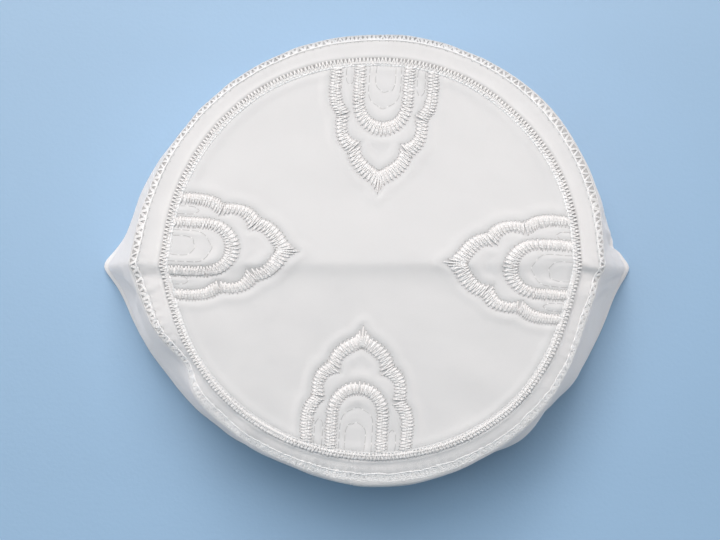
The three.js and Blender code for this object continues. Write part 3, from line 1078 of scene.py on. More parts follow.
@dataclass(frozen=True)
class ThreadFinish:
    """Mercerised thread: two plies twisted together, with a soft sheen."""

    name: str = "satin_thread"
    light: tuple[float, float, float] = (0.97, 0.945, 0.935)
    # the darker colour, mixed in by tone: random dullness on satin stitches, painted shade on the
    # ribbons, the zigzag and the ring's edge
    dull_and_shaded: tuple[float, float, float] = (0.92, 0.895, 0.885)
    roughness: float = 0.4
    plies: int = 2
    twist_length: float = 0.9
    ply_depth: float = 0.00004
    sheen: float = 0.3
    sheen_roughness: float = 0.4

    def material(self) -> bpy.types.Material:
        """Builds the material; it reads the thread's own UV map, round it and along it in mm."""
        sheen = {"Sheen_Weight": self.sheen, "Sheen_Roughness": self.sheen_roughness}
        graph = Graph(self.name, Roughness=self.roughness, **sheen)
        uv = graph.wire(graph.add("ShaderNodeUVMap", uv_map="thread"))
        split = graph.add("ShaderNodeSeparateXYZ", {0: uv})
        turns = graph.wire(split, "X") * self.plies + graph.wire(split, "Y") * (1 / self.twist_length)
        graph.bump((turns * TAU).sine(), self.ply_depth)
        graph.colour(graph.blend(graph.attribute("tone"), self.light, self.dull_and_shaded))
        return graph.material


# The finish of each kind of thread, and of the grey ribbons that paint the shade where stitches press
# the cloth down, by use.
THREADS = {
    "thread": ThreadFinish(),
    # the padding is greyer than the satin thread, partly its own cotton and partly painted shade in
    # the gaps between stitches
    "padding": ThreadFinish("padding_thread_shaded", (0.90, 0.875, 0.865), (0.84, 0.815, 0.81)),
    # painted shade: the quilt dashes are grey, as the shade in the crevices they are pulled into
    "sunk": ThreadFinish("sunk_thread_shade", (0.64, 0.62, 0.61), (0.56, 0.54, 0.53)),
    # painted shade: grey ribbons under the zigzag and beside the ring's cord stand in for the shade in
    # the cloth's creases
    "groove": ThreadFinish("pressed_cloth_shade", (0.82, 0.805, 0.80), (0.38, 0.37, 0.366)),
    # painted shade: the zigzag's strands and edges grow darker towards their outer turns, at the back
    # and sides
    "pressed_and_shaded": ThreadFinish("pressed_thread_shaded", (0.97, 0.955, 0.95), (0.72, 0.706, 0.70)),
    # painted highlight and shade: whiter than the satin thread, and darker at the front of the ring
    "edge": ThreadFinish("edge_thread_lit_and_shaded", (0.99, 0.985, 0.985), (0.76, 0.755, 0.755)),
}


@dataclass(frozen=True)
class HoleShadowFinish:
    """Painted shadow of the dimple that a needle leaves beside a stitch, on a small bead."""

    colour: tuple[float, float, float] = (0.42, 0.41, 0.40)
    lighter: float = 0.12
    roughness: float = 0.95
    scale: float = 900.0

    def material(self) -> bpy.types.Material:
        """Builds the material, a little uneven."""
        graph = Graph("needle_hole_shadow", Roughness=self.roughness)
        lighter = tuple(value + self.lighter for value in self.colour)
        graph.colour(graph.blend(graph.noise(self.scale), self.colour, lighter))
        return graph.material


@dataclass(frozen=True)
class PaperFinish:
    """Blue studio paper with a soft sheen and a very faint mottle."""

    colour: tuple[float, float, float] = (0.188, 0.368, 0.580)
    mottle: tuple[float, float, float] = (0.182, 0.360, 0.568)
    roughness: float = 0.6
    sheen: float = 1.0
    refraction: float = 1.86
    mottle_scale: float = 38.0
    tooth_scale: float = 700.0
    tooth_depth: float = 0.00005

    def material(self) -> bpy.types.Material:
        """Builds the material."""
        graph = Graph("blue_paper", Roughness=self.roughness)
        graph.shader.inputs["Specular IOR Level"].default_value = self.sheen
        graph.shader.inputs["IOR"].default_value = self.refraction
        share = graph.noise(self.mottle_scale, 5.0)
        graph.colour(graph.blend(share, self.colour, self.mottle))
        graph.bump(graph.noise(self.tooth_scale), self.tooth_depth)
        return graph.material


# ---- Making meshes --------------------------------------------------------------------------


def as_object(name: str, mesh: bpy.types.Mesh, material: bpy.types.Material) -> bpy.types.Object:
    """Puts a mesh in the scene, smooth and with its finish."""
    mesh.materials.clear()
    mesh.materials.append(material)
    mesh.shade_smooth()
    piece = bpy.data.objects.new(name, mesh)
    bpy.context.scene.collection.objects.link(piece)
    return piece


def coordinates(mesh: bpy.types.Mesh) -> Array:
    """A mesh's vertices, as rows of x, y and z."""
    values = np.empty(len(mesh.vertices) * 3)
    mesh.vertices.foreach_get("co", values)
    return values.reshape(-1, 3)


def set_attribute(mesh: bpy.types.Mesh, name: str, values: Array) -> None:
    """Stores a number for each vertex."""
    layer = mesh.attributes.new(name, "FLOAT", "POINT")
    layer.data.foreach_set("value", np.ascontiguousarray(values, dtype=np.float32))


def loop_vertices(mesh: bpy.types.Mesh) -> Array:
    """The vertex at each face corner."""
    values = np.empty(len(mesh.loops), dtype=np.int32)
    mesh.loops.foreach_get("vertex_index", values)
    return values


def set_uv(mesh: bpy.types.Mesh, name: str, values: Array) -> None:
    """Stores a UV for each face corner."""
    layer = mesh.uv_layers.new(name=name)
    layer.data.foreach_set("uv", np.ascontiguousarray(values, dtype=np.float32).ravel())


def flat_grid(name: str, columns: int, rows: int) -> bpy.types.Mesh:
    """A flat grid from 0 to 1 in x and in y, to be bent into cloth."""
    shape = bmesh.new()
    bmesh.ops.create_grid(shape, x_segments=columns, y_segments=rows, size=0.5)
    bmesh.ops.translate(shape, vec=(0.5, 0.5, 0.0), verts=shape.verts)
    return finished_mesh(shape, bpy.data.meshes.new(name))


def finished_mesh(shape: bmesh.types.BMesh, mesh: bpy.types.Mesh) -> bpy.types.Mesh:
    """Writes a shape to a mesh and frees it."""
    shape.to_mesh(mesh)
    shape.free()
    return mesh


def weld(mesh: bpy.types.Mesh, bridge: bool = False) -> None:
    """Joins points that meet, and with bridge the two open rims that are left."""
    shape = bmesh.new()
    shape.from_mesh(mesh)
    bmesh.ops.remove_doubles(shape, verts=shape.verts, dist=WELD_DISTANCE)
    if bridge:
        rims = [edge for edge in shape.edges if edge.is_boundary]
        bmesh.ops.bridge_loops(shape, edges=rims)
    bmesh.ops.recalc_face_normals(shape, faces=shape.faces)
    finished_mesh(shape, mesh)


def face_sizes(mesh: bpy.types.Mesh) -> Array:
    """The number of corners of each face."""
    return np.array([face.loop_total for face in mesh.polygons])


class UnitStitch:
    """A straight thread made once, whose rings are then laid along the path of each stitch."""

    def __init__(self, sides: int, rings: int) -> None:
        """Draws out a closed tube.

        Args:
            sides: Corners round the thread.
            rings: Rings along it, the two ends included.
        """
        shape = bmesh.new()
        bmesh.ops.create_circle(shape, segments=sides, radius=1.0)
        rim = shape.edges[:]
        for _ in range(rings - 1):
            drawn = bmesh.ops.extrude_edge_only(shape, edges=rim)["geom"]
            corners = [item for item in drawn if isinstance(item, bmesh.types.BMVert)]
            bmesh.ops.translate(shape, vec=(0.0, 0.0, 1.0), verts=corners)
            edges = [item for item in drawn if isinstance(item, bmesh.types.BMEdge)]
            rim = [edge for edge in edges if edge.is_boundary]
        bmesh.ops.holes_fill(shape, edges=shape.edges[:], sides=sides)
        bmesh.ops.recalc_face_normals(shape, faces=shape.faces)
        mesh = finished_mesh(shape, bpy.data.meshes.new("unit_stitch"))
        place = coordinates(mesh)
        self.rings = rings
        self.ring = np.rint(place[:, 2]).astype(int)
        self.across = place[:, :2]
        self.corners = loop_vertices(mesh)
        self.sizes = face_sizes(mesh)
        around = np.arctan2(self.across[:, 1], self.across[:, 0])[self.corners] / TAU
        first = np.repeat(around[running_total(self.sizes[:-1])], self.sizes)
        self.around = around + np.rint(first - around)
        bpy.data.meshes.remove(mesh)

    def lay(
        self,
        name: str,
        paths: Array,
        ups: Array,
        radii: tuple[float, float] | Array,
        tones: Array,
        material: bpy.types.Material,
    ) -> bpy.types.Object:
        """Lays a thread along each path and joins them all in one piece.

        Args:
            name: The piece's name.
            paths: Points for each stitch, in mm, one for each ring of the thread.
            ups: Directions away from the cloth at the same points, or one for them all.
            radii: Half the thread's width and half its height, in mm, for all its length or for
                each ring of each stitch.
            tones: A number from 0 to 1 for each stitch, for its shade.
            material: The thread's finish.

        Returns:
            The piece, in the scene.
        """
        count, rings = paths.shape[:2]
        along = unit(np.gradient(paths, axis=1))
        side = unit(np.cross(np.broadcast_to(ups, paths.shape), along))
        rise = np.cross(along, side)
        offsets = self.across * np.broadcast_to(radii, (count, rings, 2))[:, self.ring]
        points = paths[:, self.ring] + side[:, self.ring] * offsets[..., :1]
        points = points + rise[:, self.ring] * offsets[..., 1:]
        lengths = np.linalg.norm(np.diff(paths, axis=1), axis=-1)
        lengths = np.hstack([np.zeros((count, 1)), np.cumsum(lengths, axis=1)])
        mesh = repeated_mesh(name, points.reshape(-1, 3) * MM, self.corners, self.sizes, count)
        ends = self.ring[self.corners]
        uv = np.stack([np.tile(self.around, count), lengths[:, ends].ravel()], axis=-1)
        set_uv(mesh, "thread", uv)
        set_attribute(mesh, "tone", np.repeat(tones, len(self.ring)))
        return as_object(name, mesh, material)


def repeated_mesh(
    name: str, points: Array, corners: Array, sizes: Array, count: int
) -> bpy.types.Mesh:
    """Joins copies of one small mesh whose points are given for each copy.

    Args:
        name: The mesh's name.
        points: All points, copy after copy, in metres.
        corners: The vertex at each face corner of one copy.
        sizes: The number of corners of each face of one copy.
        count: How many copies.

    Returns:
        The joined mesh.
    """
    each = len(points) // count
    shift = np.repeat(np.arange(count) * each, len(corners))
    loops = np.tile(corners, count) + shift
    totals = np.tile(sizes, count)
    mesh = bpy.data.meshes.new(name)
    mesh.vertices.add(len(points))
    mesh.vertices.foreach_set("co", np.ascontiguousarray(points, dtype=np.float32).ravel())
    mesh.loops.add(len(loops))
    mesh.loops.foreach_set("vertex_index", loops.astype(np.int32))
    mesh.polygons.add(len(totals))
    mesh.polygons.foreach_set("loop_start", running_total(totals[:-1]).astype(np.int32))
    mesh.update(calc_edges=True)
    mesh.validate()
    return mesh


ANY_WAY = np.array([0.3, 1.0, 0.2])  # a direction that is never a bead's own upward one


class Knob:
    """A small closed bead, made once and set down many times: painted shadows of needle holes, and
    thread ends.
    """

    def __init__(self, sides: int = 6, levels: int = 4) -> None:
        """Makes a low ball of a few faces."""
        shape = bmesh.new()
        bmesh.ops.create_uvsphere(shape, u_segments=sides, v_segments=levels, radius=1.0)
        mesh = finished_mesh(shape, bpy.data.meshes.new("unit_knob"))
        self.place = coordinates(mesh)
        self.corners = loop_vertices(mesh)
        self.sizes = face_sizes(mesh)
        bpy.data.meshes.remove(mesh)

    def scatter(
        self,
        name: str,
        centres: Array,
        ups: Array,
        radii: tuple[float, float],
        material: bpy.types.Material,
    ) -> bpy.types.Object:
        """Sets a bead at each centre.

        Args:
            name: The piece's name.
            centres: Where the beads lie, in mm.
            ups: Directions away from the cloth, or one for them all.
            radii: Half the width and half the height of a bead, in mm.
            material: The finish.

        Returns:
            The piece, in the scene.
        """
        ups = unit(np.broadcast_to(ups, centres.shape))
        side = unit(np.cross(ups, ANY_WAY))
        other = np.cross(ups, side)
        wide, high = radii
        points = (
            centres[:, None]
            + side[:, None] * self.place[None, :, :1] * wide
            + other[:, None] * self.place[None, :, 1:2] * wide
            + ups[:, None] * self.place[None, :, 2:] * high
        )
        flat = points.reshape(-1, 3) * MM
        mesh = repeated_mesh(name, flat, self.corners, self.sizes, len(centres))
        set_attribute(mesh, "tone", np.zeros(len(mesh.vertices)))
        set_uv(mesh, "thread", np.zeros((len(mesh.loops), 2)))
        return as_object(name, mesh, material)


def report(piece: bpy.types.Object, slot: str, *nodes: str) -> bpy.types.Object:
    """Fixes a piece to the cap, hides the parts that it replaces, and logs its slot and those parts.
    """
    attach(piece, BODY)
    if nodes:
        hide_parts(*nodes)
    log.info("%s: %d faces, slot %s, replaces %s", piece.name, len(piece.data.polygons), slot, nodes)
    return piece


# ---- Cloth ----------------------------------------------------------------------------------


@dataclass(frozen=True)
class CrownCloth:
    """The disc of the crown, one closed sheet of quilted cotton."""

    columns: int = 190
    rows: int = 184
    thickness: float = 1.6
    gap: float = 0.3
    relief: CrownRelief = CrownRelief()
    form: CapForm = FORM

    def build(self, material: bpy.types.Material) -> bpy.types.Object:
        """Bends a grid to the disc's outline and relief, and gives it its thickness."""
        mesh = flat_grid("crown_cloth", self.columns, self.rows)
        flat = coordinates(mesh)[:, :2] * 2 - 1
        u, v = flat[:, 0], flat[:, 1]
        disc = np.stack([u * np.sqrt(1 - v**2 / 2), v * np.sqrt(1 - u**2 / 2)], axis=-1)
        angle = np.degrees(np.arctan2(disc[:, 1], disc[:, 0]))
        edge = self.form.ring_radius(angle) - self.form.seam_inset - self.gap
        points = disc * edge[:, None]
        rise, depth = self.relief.at(points)
        height = self.form.crown_height(points[:, 0], points[:, 1]) + rise
        mesh.vertices.foreach_set("co", (np.column_stack([points, height]) * MM).ravel())
        set_attribute(mesh, "depth", depth)
        set_uv(mesh, "cloth", (points / 10)[loop_vertices(mesh)])
        piece = as_object("crown_cloth", mesh, material)
        wall = piece.modifiers.new("thickness", "SOLIDIFY")
        wall.thickness = self.thickness * MM
        wall.offset = -1.0
        return report(piece, "cotton", "crown_top")


@dataclass(frozen=True)
class BandCloth:
    """The band: rim, shoulder and wall in one closed sheet, with a rounded hem."""

    columns: int = 560
    rim_rows: int = 44
    wall_rows: int = 32
    hem_band: float = 0.16
    hem_band_rows: int = 22
    hem_rows: int = 6
    inner_rows: int = 20
    hem_lift_fade: float = 20.0
    thickness: float = 1.8
    flat_length: float = 565.0
    flat_width: float = 78.0
    relief: BandRelief = BandRelief()
    form: CapForm = FORM

    def _levels(self) -> tuple[Array, Array]:
        """The rows of the sheet, once round its section.

        Returns:
            Places on the band for the outer face, and for the inner face back to the joint.
        """
        rim = np.linspace(0, 2, self.rim_rows, endpoint=False)
        wall = np.linspace(2, 3 - self.hem_band, self.wall_rows, endpoint=False)
        hem = np.linspace(3 - self.hem_band, 3, self.hem_band_rows)
        return np.concatenate([rim, wall, hem]), np.linspace(3, 0, self.inner_rows)

    def build(self, material: bpy.types.Material) -> bpy.types.Object:
        """Bends a grid round the cap, over its hem and back inside."""
        outer_places, inner_places = self._levels()
        count = len(outer_places) + self.hem_rows + len(inner_places)
        mesh = flat_grid("band_cloth", self.columns, count - 1)
        grid = coordinates(mesh)
        column = np.rint(grid[:, 0] * self.columns).astype(int)
        row = np.rint(grid[:, 1] * (count - 1)).astype(int)
        start = self.relief.joint_at
        angles = start + np.arange(self.columns + 1) * 360 / self.columns
        places = np.concatenate([outer_places, np.full(self.hem_rows, 3.0), inner_places])
        angle, place = np.meshgrid(angles, places)
        outer = self.form.on_band(angle, place)
        normal = self.form.band_normal(angle, place)
        rise, depth = self.relief.at(angle, place)
        outside = outer + normal * rise[..., None]
        half = self.thickness / 2
        first_hem = len(outer_places)
        first_inner = first_hem + self.hem_rows
        rounding = np.linspace(0, math.pi, self.hem_rows + 2)[1:-1]
        points = outside.copy()
        points[first_inner:] = outer[first_inner:] - normal[first_inner:] * self.thickness
        for at, turn in enumerate(rounding, first_hem):
            inward = unit(normal[at] * (1, 1, 0))
            points[at] = outside[at] - inward * half * (1 - math.cos(turn))
            points[at, :, 2] = half * (1 - math.sin(turn))
        for rows, face in ((slice(first_hem), outer_places), (slice(first_inner, None), inner_places)):
            points[rows, :, 2] += half * bell((3 - face) * self.hem_lift_fade, 1.0)[:, None]
        points[..., 2] = np.maximum(points[..., 2], 0)
        depth[first_inner:] = 0
        mesh.vertices.foreach_set("co", (points[row, column] * MM).ravel())
        set_attribute(mesh, "depth", depth[row, column])
        steps = np.linalg.norm(np.diff(points, axis=0), axis=-1).mean(axis=1)
        down = running_total(steps) / 10
        way = np.arange(self.columns + 1) / self.columns * self.flat_length / 10
        corner = loop_vertices(mesh)
        set_uv(mesh, "cloth", np.stack([way[column], down[row]], axis=-1)[corner])
        weld(mesh, bridge=True)
        piece = as_object("band_cloth", mesh, material)
        return report(piece, "cotton", "side_band")


# ---- Embroidery -----------------------------------------------------------------------------


@dataclass(frozen=True)
class Needlework:
    """What every kind of stitch shares: its thread, its finish and where the cloth lies."""

    stitch: UnitStitch
    bar: UnitStitch
    knob: Knob
    thread: bpy.types.Material
    padding: bpy.types.Material
    sunk: bpy.types.Material
    groove: bpy.types.Material
    pressed_and_shaded: bpy.types.Material
    edge: bpy.types.Material
    hole: bpy.types.Material
    form: CapForm = FORM
    relief: CrownRelief = CrownRelief()
    band_relief: BandRelief = BandRelief()

    def cloth_height(self, points: Array) -> Array:
        """Height of the disc's cloth, with its relief, at points of its plane."""
        relief = self.relief.at(points.reshape(-1, 2))[0].reshape(points.shape[:-1])
        return self.form.crown_height(points[..., 0], points[..., 1]) + relief

    def on_cloth(self, points: Array, rise: Array | float) -> Array:
        """Points of the disc's plane, brought so far above its cloth."""
        return np.concatenate([points, (self.cloth_height(points) + rise)[..., None]], axis=-1)

    def on_band(self, angle: Array, place: Array, lift: Array | float) -> tuple[Array, Array]:
        """Points so far off the band's cloth, with its relief, and the directions away from it."""
        grid = np.ravel(angle)[None, :], np.ravel(place)[None, :]
        relief = np.reshape(self.band_relief.at(*grid)[0], np.shape(place))
        normal = self.form.band_normal(angle, place)
        return self.form.on_band(angle, place) + normal * (relief + lift)[..., None], normal

    def between(self, start: Array, end: Array, shares: Array, rise: Array) -> Array:
        """Stitches that bridge the cloth from one point to another.

        Args:
            start: Where each stitch leaves the cloth, in its plane.
            end: Where each goes back in.
            shares: How far along a stitch each of its points lies.
            rise: How far each point stands above a straight thread.

        Returns:
            The points of every stitch.
        """
        ends = [self.on_cloth(points, 0.0) for points in (start, end)]
        paths = ends[0][:, None] + (ends[1] - ends[0])[:, None] * shares[None, :, None]
        paths[..., 2] += rise
        return paths


THREAD_SIDES = 6  # corners round a strand
BAR_SIDES = 16  # corners round a padded bar
BAR_RINGS = 28  # rings along a padded bar
SATIN_STEPS = np.array([0.0, 0.06, 0.2, 0.4, 0.6, 0.8, 0.94, 1.0])
STRAIGHT_STEPS = np.linspace(0, 1, len(SATIN_STEPS))
UP = np.array([0.0, 0.0, 1.0])


def round_back(share: Array) -> Array:
    """Height of a half ellipse of height 1, from one end of its width to the other."""
    return 2 * np.sqrt(share * (1 - share))


@dataclass(frozen=True)
class SatinColumn:
    """A column of V stitches between two edges, close together over a padded bar."""

    work: Needlework
    bar_rise: float = 0.66
    bar_share: float = 0.84
    bar_end: float = 0.5
    # painted shade: the padding takes this much of its darker colour
    bar_tone: float = 0.3
    thread_rise: float = 0.8
    trim: float = 0.045
    sink: float = 0.12
    radii: tuple[float, float] = (0.235, 0.2)
    spread: float = 0.2
    outer_spread: float = 0.5
    inner_spread: float = 0.6
    rise_spread: float = 0.05
    hole_offset: float = 0.3
    hole_radii: tuple[float, float] = (0.2, 0.12)

    def build(
        self, motif: Motif, arch: Sequence[Stretch], name: str, seed: int
    ) -> list[bpy.types.Object]:
        """Works one whole arch.

        Args:
            motif: Where the arch stands.
            arch: The arch's stretches of column.
            name: The name of the pieces.
            seed: Seed of the stitches' unevenness.

        Returns:
            The stitches, the padding under them, and dark beads beside them that paint the shadows of
            the needle holes.
        """
        rng = np.random.default_rng(seed)
        starts, ends, holes = [], [], []
        for sign in (-1, 1):
            for stretch in arch:
                count = column_count(stretch)
                outer, inner = column_sides(motif, stretch, sign, 2 * count + 1)
                trim = (inner - outer) * self.trim
                outer, inner = outer + trim, inner - trim
                wobble = self.spread * stretch.unevenness
                outer = outer[::2] + rng.normal(0, wobble * self.outer_spread, (count + 1, 2))
                inner = inner[1::2] + rng.normal(0, wobble * self.inner_spread, (count, 2))
                starts += [outer[:-1], outer[1:]]
                ends += [inner, inner]
                away = unit(outer - np.vstack([inner, inner[-1:]]))
                holes += [outer + away * self.hole_offset, inner - away[:-1] * self.hole_offset]
        start, end = np.vstack(starts), np.vstack(ends)
        rise = self.thread_rise * (1 + rng.normal(0, self.rise_spread, (len(start), 1)))
        rise = rise * round_back(SATIN_STEPS) - self.sink
        work = self.work
        paths = work.between(start, end, SATIN_STEPS, rise)
        tones = rng.uniform(0, 1, len(start)) ** 2
        stitches = work.stitch.lay(f"{name}_stitches", paths, UP, self.radii, tones, work.thread)
        # dark beads beside the column: painted shadows of the needle holes
        centres = work.on_cloth(np.vstack(holes), 0.0)
        pits = work.knob.scatter(f"{name}_holes", centres, UP, self.hole_radii, work.hole)
        return [stitches, self._padding(motif, arch, f"{name}_padding"), pits]

    def _padding(self, motif: Motif, arch: Sequence[Stretch], name: str) -> bpy.types.Object:
        """The padded bars under the stitches, one for each stretch of column."""
        rings = self.work.bar.rings
        centres, half_widths = [], []
        for sign in (-1, 1):
            for stretch in arch:
                outer, inner = column_sides(motif, stretch, sign, rings)
                centres.append((outer + inner) / 2)
                half_widths.append(np.linalg.norm(outer - inner, axis=-1) / 2)
        paths = self.work.on_cloth(np.array(centres), -self.sink)
        ends = self.bar_end + (1 - self.bar_end) * round_back(np.linspace(0, 1, rings)) ** 0.5
        wide = np.array(half_widths) * self.bar_share * ends
        high = np.broadcast_to(self.bar_rise * ends, wide.shape)
        radii = np.stack([wide, high], axis=-1)
        tones = np.full(len(paths), self.bar_tone)
        return self.work.bar.lay(name, paths, UP, radii, tones, self.work.padding)


@dataclass(frozen=True)
class QuiltLines:
    """The fine running stitches inside each motif, pulled down into the cloth."""

    work: Needlework
    pitch: float = 3.4
    dash: float = 2.5
    dash_change: tuple[float, float] = (0.9, 1.08)
    spread: float = 0.12
    samples: int = 300
    seed: int = 31
    radii: tuple[float, float] = (0.13, 0.08)
    end_radii: tuple[float, float] = (0.22, 0.15)
    end_rise: float = 0.05

    def build(self) -> list[bpy.types.Object]:
        """Works the lines of all four motifs."""
        rng = np.random.default_rng(self.seed)
        paths, ends = [], []
        for motif in MOTIFS:
            for line in QUILT_LINES:
                rows = np.array(line)
                for at in (0, -1):
                    rows[at] = motif.meet_ring(rows[at])
                fine = motif.place(smooth_curve(rows, np.linspace(0, len(rows) - 1, self.samples)))
                count = max(2, round(path_lengths(fine)[-1] / self.pitch))
                step = path_lengths(fine)[-1] / count
                for number in range(count):
                    first = number * step + (step - self.dash) / 2 + rng.normal(0, self.spread)
                    way = first + STRAIGHT_STEPS * self.dash * rng.uniform(*self.dash_change)
                    paths.append(along_path(fine, way))
                ends.append(along_path(fine, np.arange(count + 1) * step))
        work = self.work
        laid = work.on_cloth(np.array(paths), 0.0)
        tones = rng.uniform(0, 1, len(laid))
        # the dashes' grey finish paints the shade of the crevices they lie in
        stitches = work.stitch.lay("quilt_stitches", laid, UP, self.radii, tones, work.sunk)
        centres = work.on_cloth(np.vstack(ends), self.end_rise)
        knots = work.knob.scatter("quilt_stitch_ends", centres, UP, self.end_radii, work.thread)
        return [stitches, knots]


@dataclass(frozen=True)
class SatinRing:
    """The zigzag satin ring over the joint of disc and band, worked over a cord."""

    work: Needlework
    count: int = 345
    rise: float = 0.72
    inset: float = 0.25
    sink: float = 0.12
    outer_rise: float = 0.4
    radii: tuple[float, float] = (0.25, 0.19)
    cord_inset: float = 2.2
    cord_radii: tuple[float, float] = (0.6, 0.48)
    crease_inset: float = 0.95
    crease_radii: tuple[float, float] = (0.62, 0.06)
    edge_inset: float = 2.85
    edge_radii: tuple[float, float] = (0.38, 0.25)
    edge_rise: float = 0.17
    edge_loops: float = 0.16
    points_per_loop: int = 6
    round_points: int = 720
    spread: float = 0.1
    inner_spread: float = 0.06
    rise_spread: float = 0.06
    lean: float = 0.7
    seed: int = 7
    hole_offset: float = 0.65
    hole_radii: tuple[float, float] = (0.1, 0.05)

    def _even_angles(self, count: int) -> Array:
        """Angles that share the ring's length evenly."""
        fine = np.linspace(0, 360, 2 * self.round_points + 1)
        lengths = path_lengths(polar(self.work.form.ring_radius(fine), fine))
        return np.interp(np.arange(count) * lengths[-1] / count, lengths, fine)

    def build(self) -> list[bpy.types.Object]:
        """Works the ring over its cord, with a grey ribbon beside the cord that paints the shade of
        the cloth's crease.
        """
        rng = np.random.default_rng(self.seed)
        form = self.work.form
        angles = self._even_angles(2 * self.count)
        radius = form.ring_radius(angles) - self.inset
        outer = polar(radius[::2], angles[::2])[:, :2] + rng.normal(0, self.spread, (self.count, 2))
        inner = polar(radius[1::2] - form.ring_width, angles[1::2])[:, :2]
        inner = inner + rng.normal(0, self.inner_spread, inner.shape)
        start = np.vstack([inner, inner])
        end = np.vstack([outer, np.roll(outer, -1, axis=0)])
        lift = self.rise * (1 + rng.normal(0, self.rise_spread, (len(start), 1)))
        height = lift * round_back(SATIN_STEPS**self.lean) - self.sink
        height = height + self.outer_rise * SATIN_STEPS**2
        paths = self.work.between(start, end, SATIN_STEPS, height)
        tones = rng.uniform(0, 1, len(start)) ** 2
        work = self.work
        stitches = work.stitch.lay("seam_ring_stitches", paths, UP, self.radii, tones, work.thread)
        # dark beads inside the ring: painted shadows of the needle holes
        centres = work.on_cloth(inner - unit(inner) * self.hole_offset, 0.0)
        pits = work.knob.scatter("seam_ring_holes", centres, UP, self.hole_radii, work.hole)
        # painted shade: the cord and the grey crease ribbon take more of their darker colours where
        # LEADS say so
        cord = self._round("seam_ring_cord", self.cord_inset, self.cord_radii, work.padding)
        crease = self._round("seam_ring_crease_shade", self.crease_inset, self.crease_radii, work.groove)
        return [stitches, cord, crease, self._edge(), pits]

    def _edge(self) -> bpy.types.Object:
        """The looped line along the ring's inner edge, where its stitches turn."""
        count = self.count * self.points_per_loop
        angles = np.append(self._even_angles(count), 360.0)
        loops = np.abs(np.sin(math.pi * np.arange(count + 1) / self.points_per_loop))
        radius = self.work.form.ring_radius(angles) - self.edge_inset - self.edge_loops * loops
        path = self.work.on_cloth(polar(radius, angles)[:, :2], self.edge_rise)
        # painted shade: the edge is darker where the zigzag is shallow, at the front
        tones = 1 - zigzag_work("deep_and_shaded", angles)
        edge = self.work.edge
        return closed_thread("seam_ring_edge", path, UP, self.edge_radii, edge, THREAD_SIDES, tones)

    def _round(
        self, name: str, inset: float, radii: tuple[float, float], material: bpy.types.Material
    ) -> bpy.types.Object:
        """A closed thread all round the ring, so far inside its outer edge."""
        angles = np.linspace(0, 360, self.round_points + 1)
        path = self.work.form.on_crown(self.work.form.ring_radius(angles) - inset, angles)
        return closed_thread(name, path, UP, radii, material, tones=zigzag_work("deep_and_shaded", angles))


def closed_thread(
    name: str,
    path: Array,
    ups: Array,
    radii: tuple[float, float],
    material: bpy.types.Material,
    sides: int = 8,
    tones: Array | float = 0.2,
) -> bpy.types.Object:
    """A long thread whose two ends are joined.

    Args:
        name: The piece's name.
        path: Points along it, in mm, the last on the first.
        ups: Directions away from the cloth.
        radii: Half its width and half its height.
        material: Its finish.
        sides: Corners round it.
        tones: How far along the way it takes its finish's darker colour, from 0 to 1; on several
            pieces this is painted shade.

    Returns:
        The piece, in the scene.
    """
    mesh = flat_grid(name, len(path) - 1, sides)
    grid = coordinates(mesh)
    column = np.rint(grid[:, 0] * (len(path) - 1)).astype(int)
    turn = grid[:, 1] * TAU
    neighbours = np.vstack([path[-2:-1], path, path[1:2]])
    along = unit(neighbours[2:] - neighbours[:-2])
    side = unit(np.cross(np.broadcast_to(ups, path.shape), along))
    rise = np.cross(along, side)
    points = (
        path[column]
        + side[column] * (np.cos(turn) * radii[0])[:, None]
        + rise[column] * (np.sin(turn) * radii[1])[:, None]
    )
    mesh.vertices.foreach_set("co", (points * MM).ravel())
    uv = np.stack([grid[:, 1], path_lengths(path)[column]], axis=-1)
    set_uv(mesh, "thread", uv[loop_vertices(mesh)])
    set_attribute(mesh, "tone", np.broadcast_to(tones, len(path))[column])
    weld(mesh)
    return as_object(name, mesh, material)


class Edge(NamedTuple):
    """A looped thread beside the zigzag: its place in the width, its loops, size and painted shade."""

    name: str
    share: float
    loops: float
    radii: tuple[float, float]
    dull_and_shaded: float


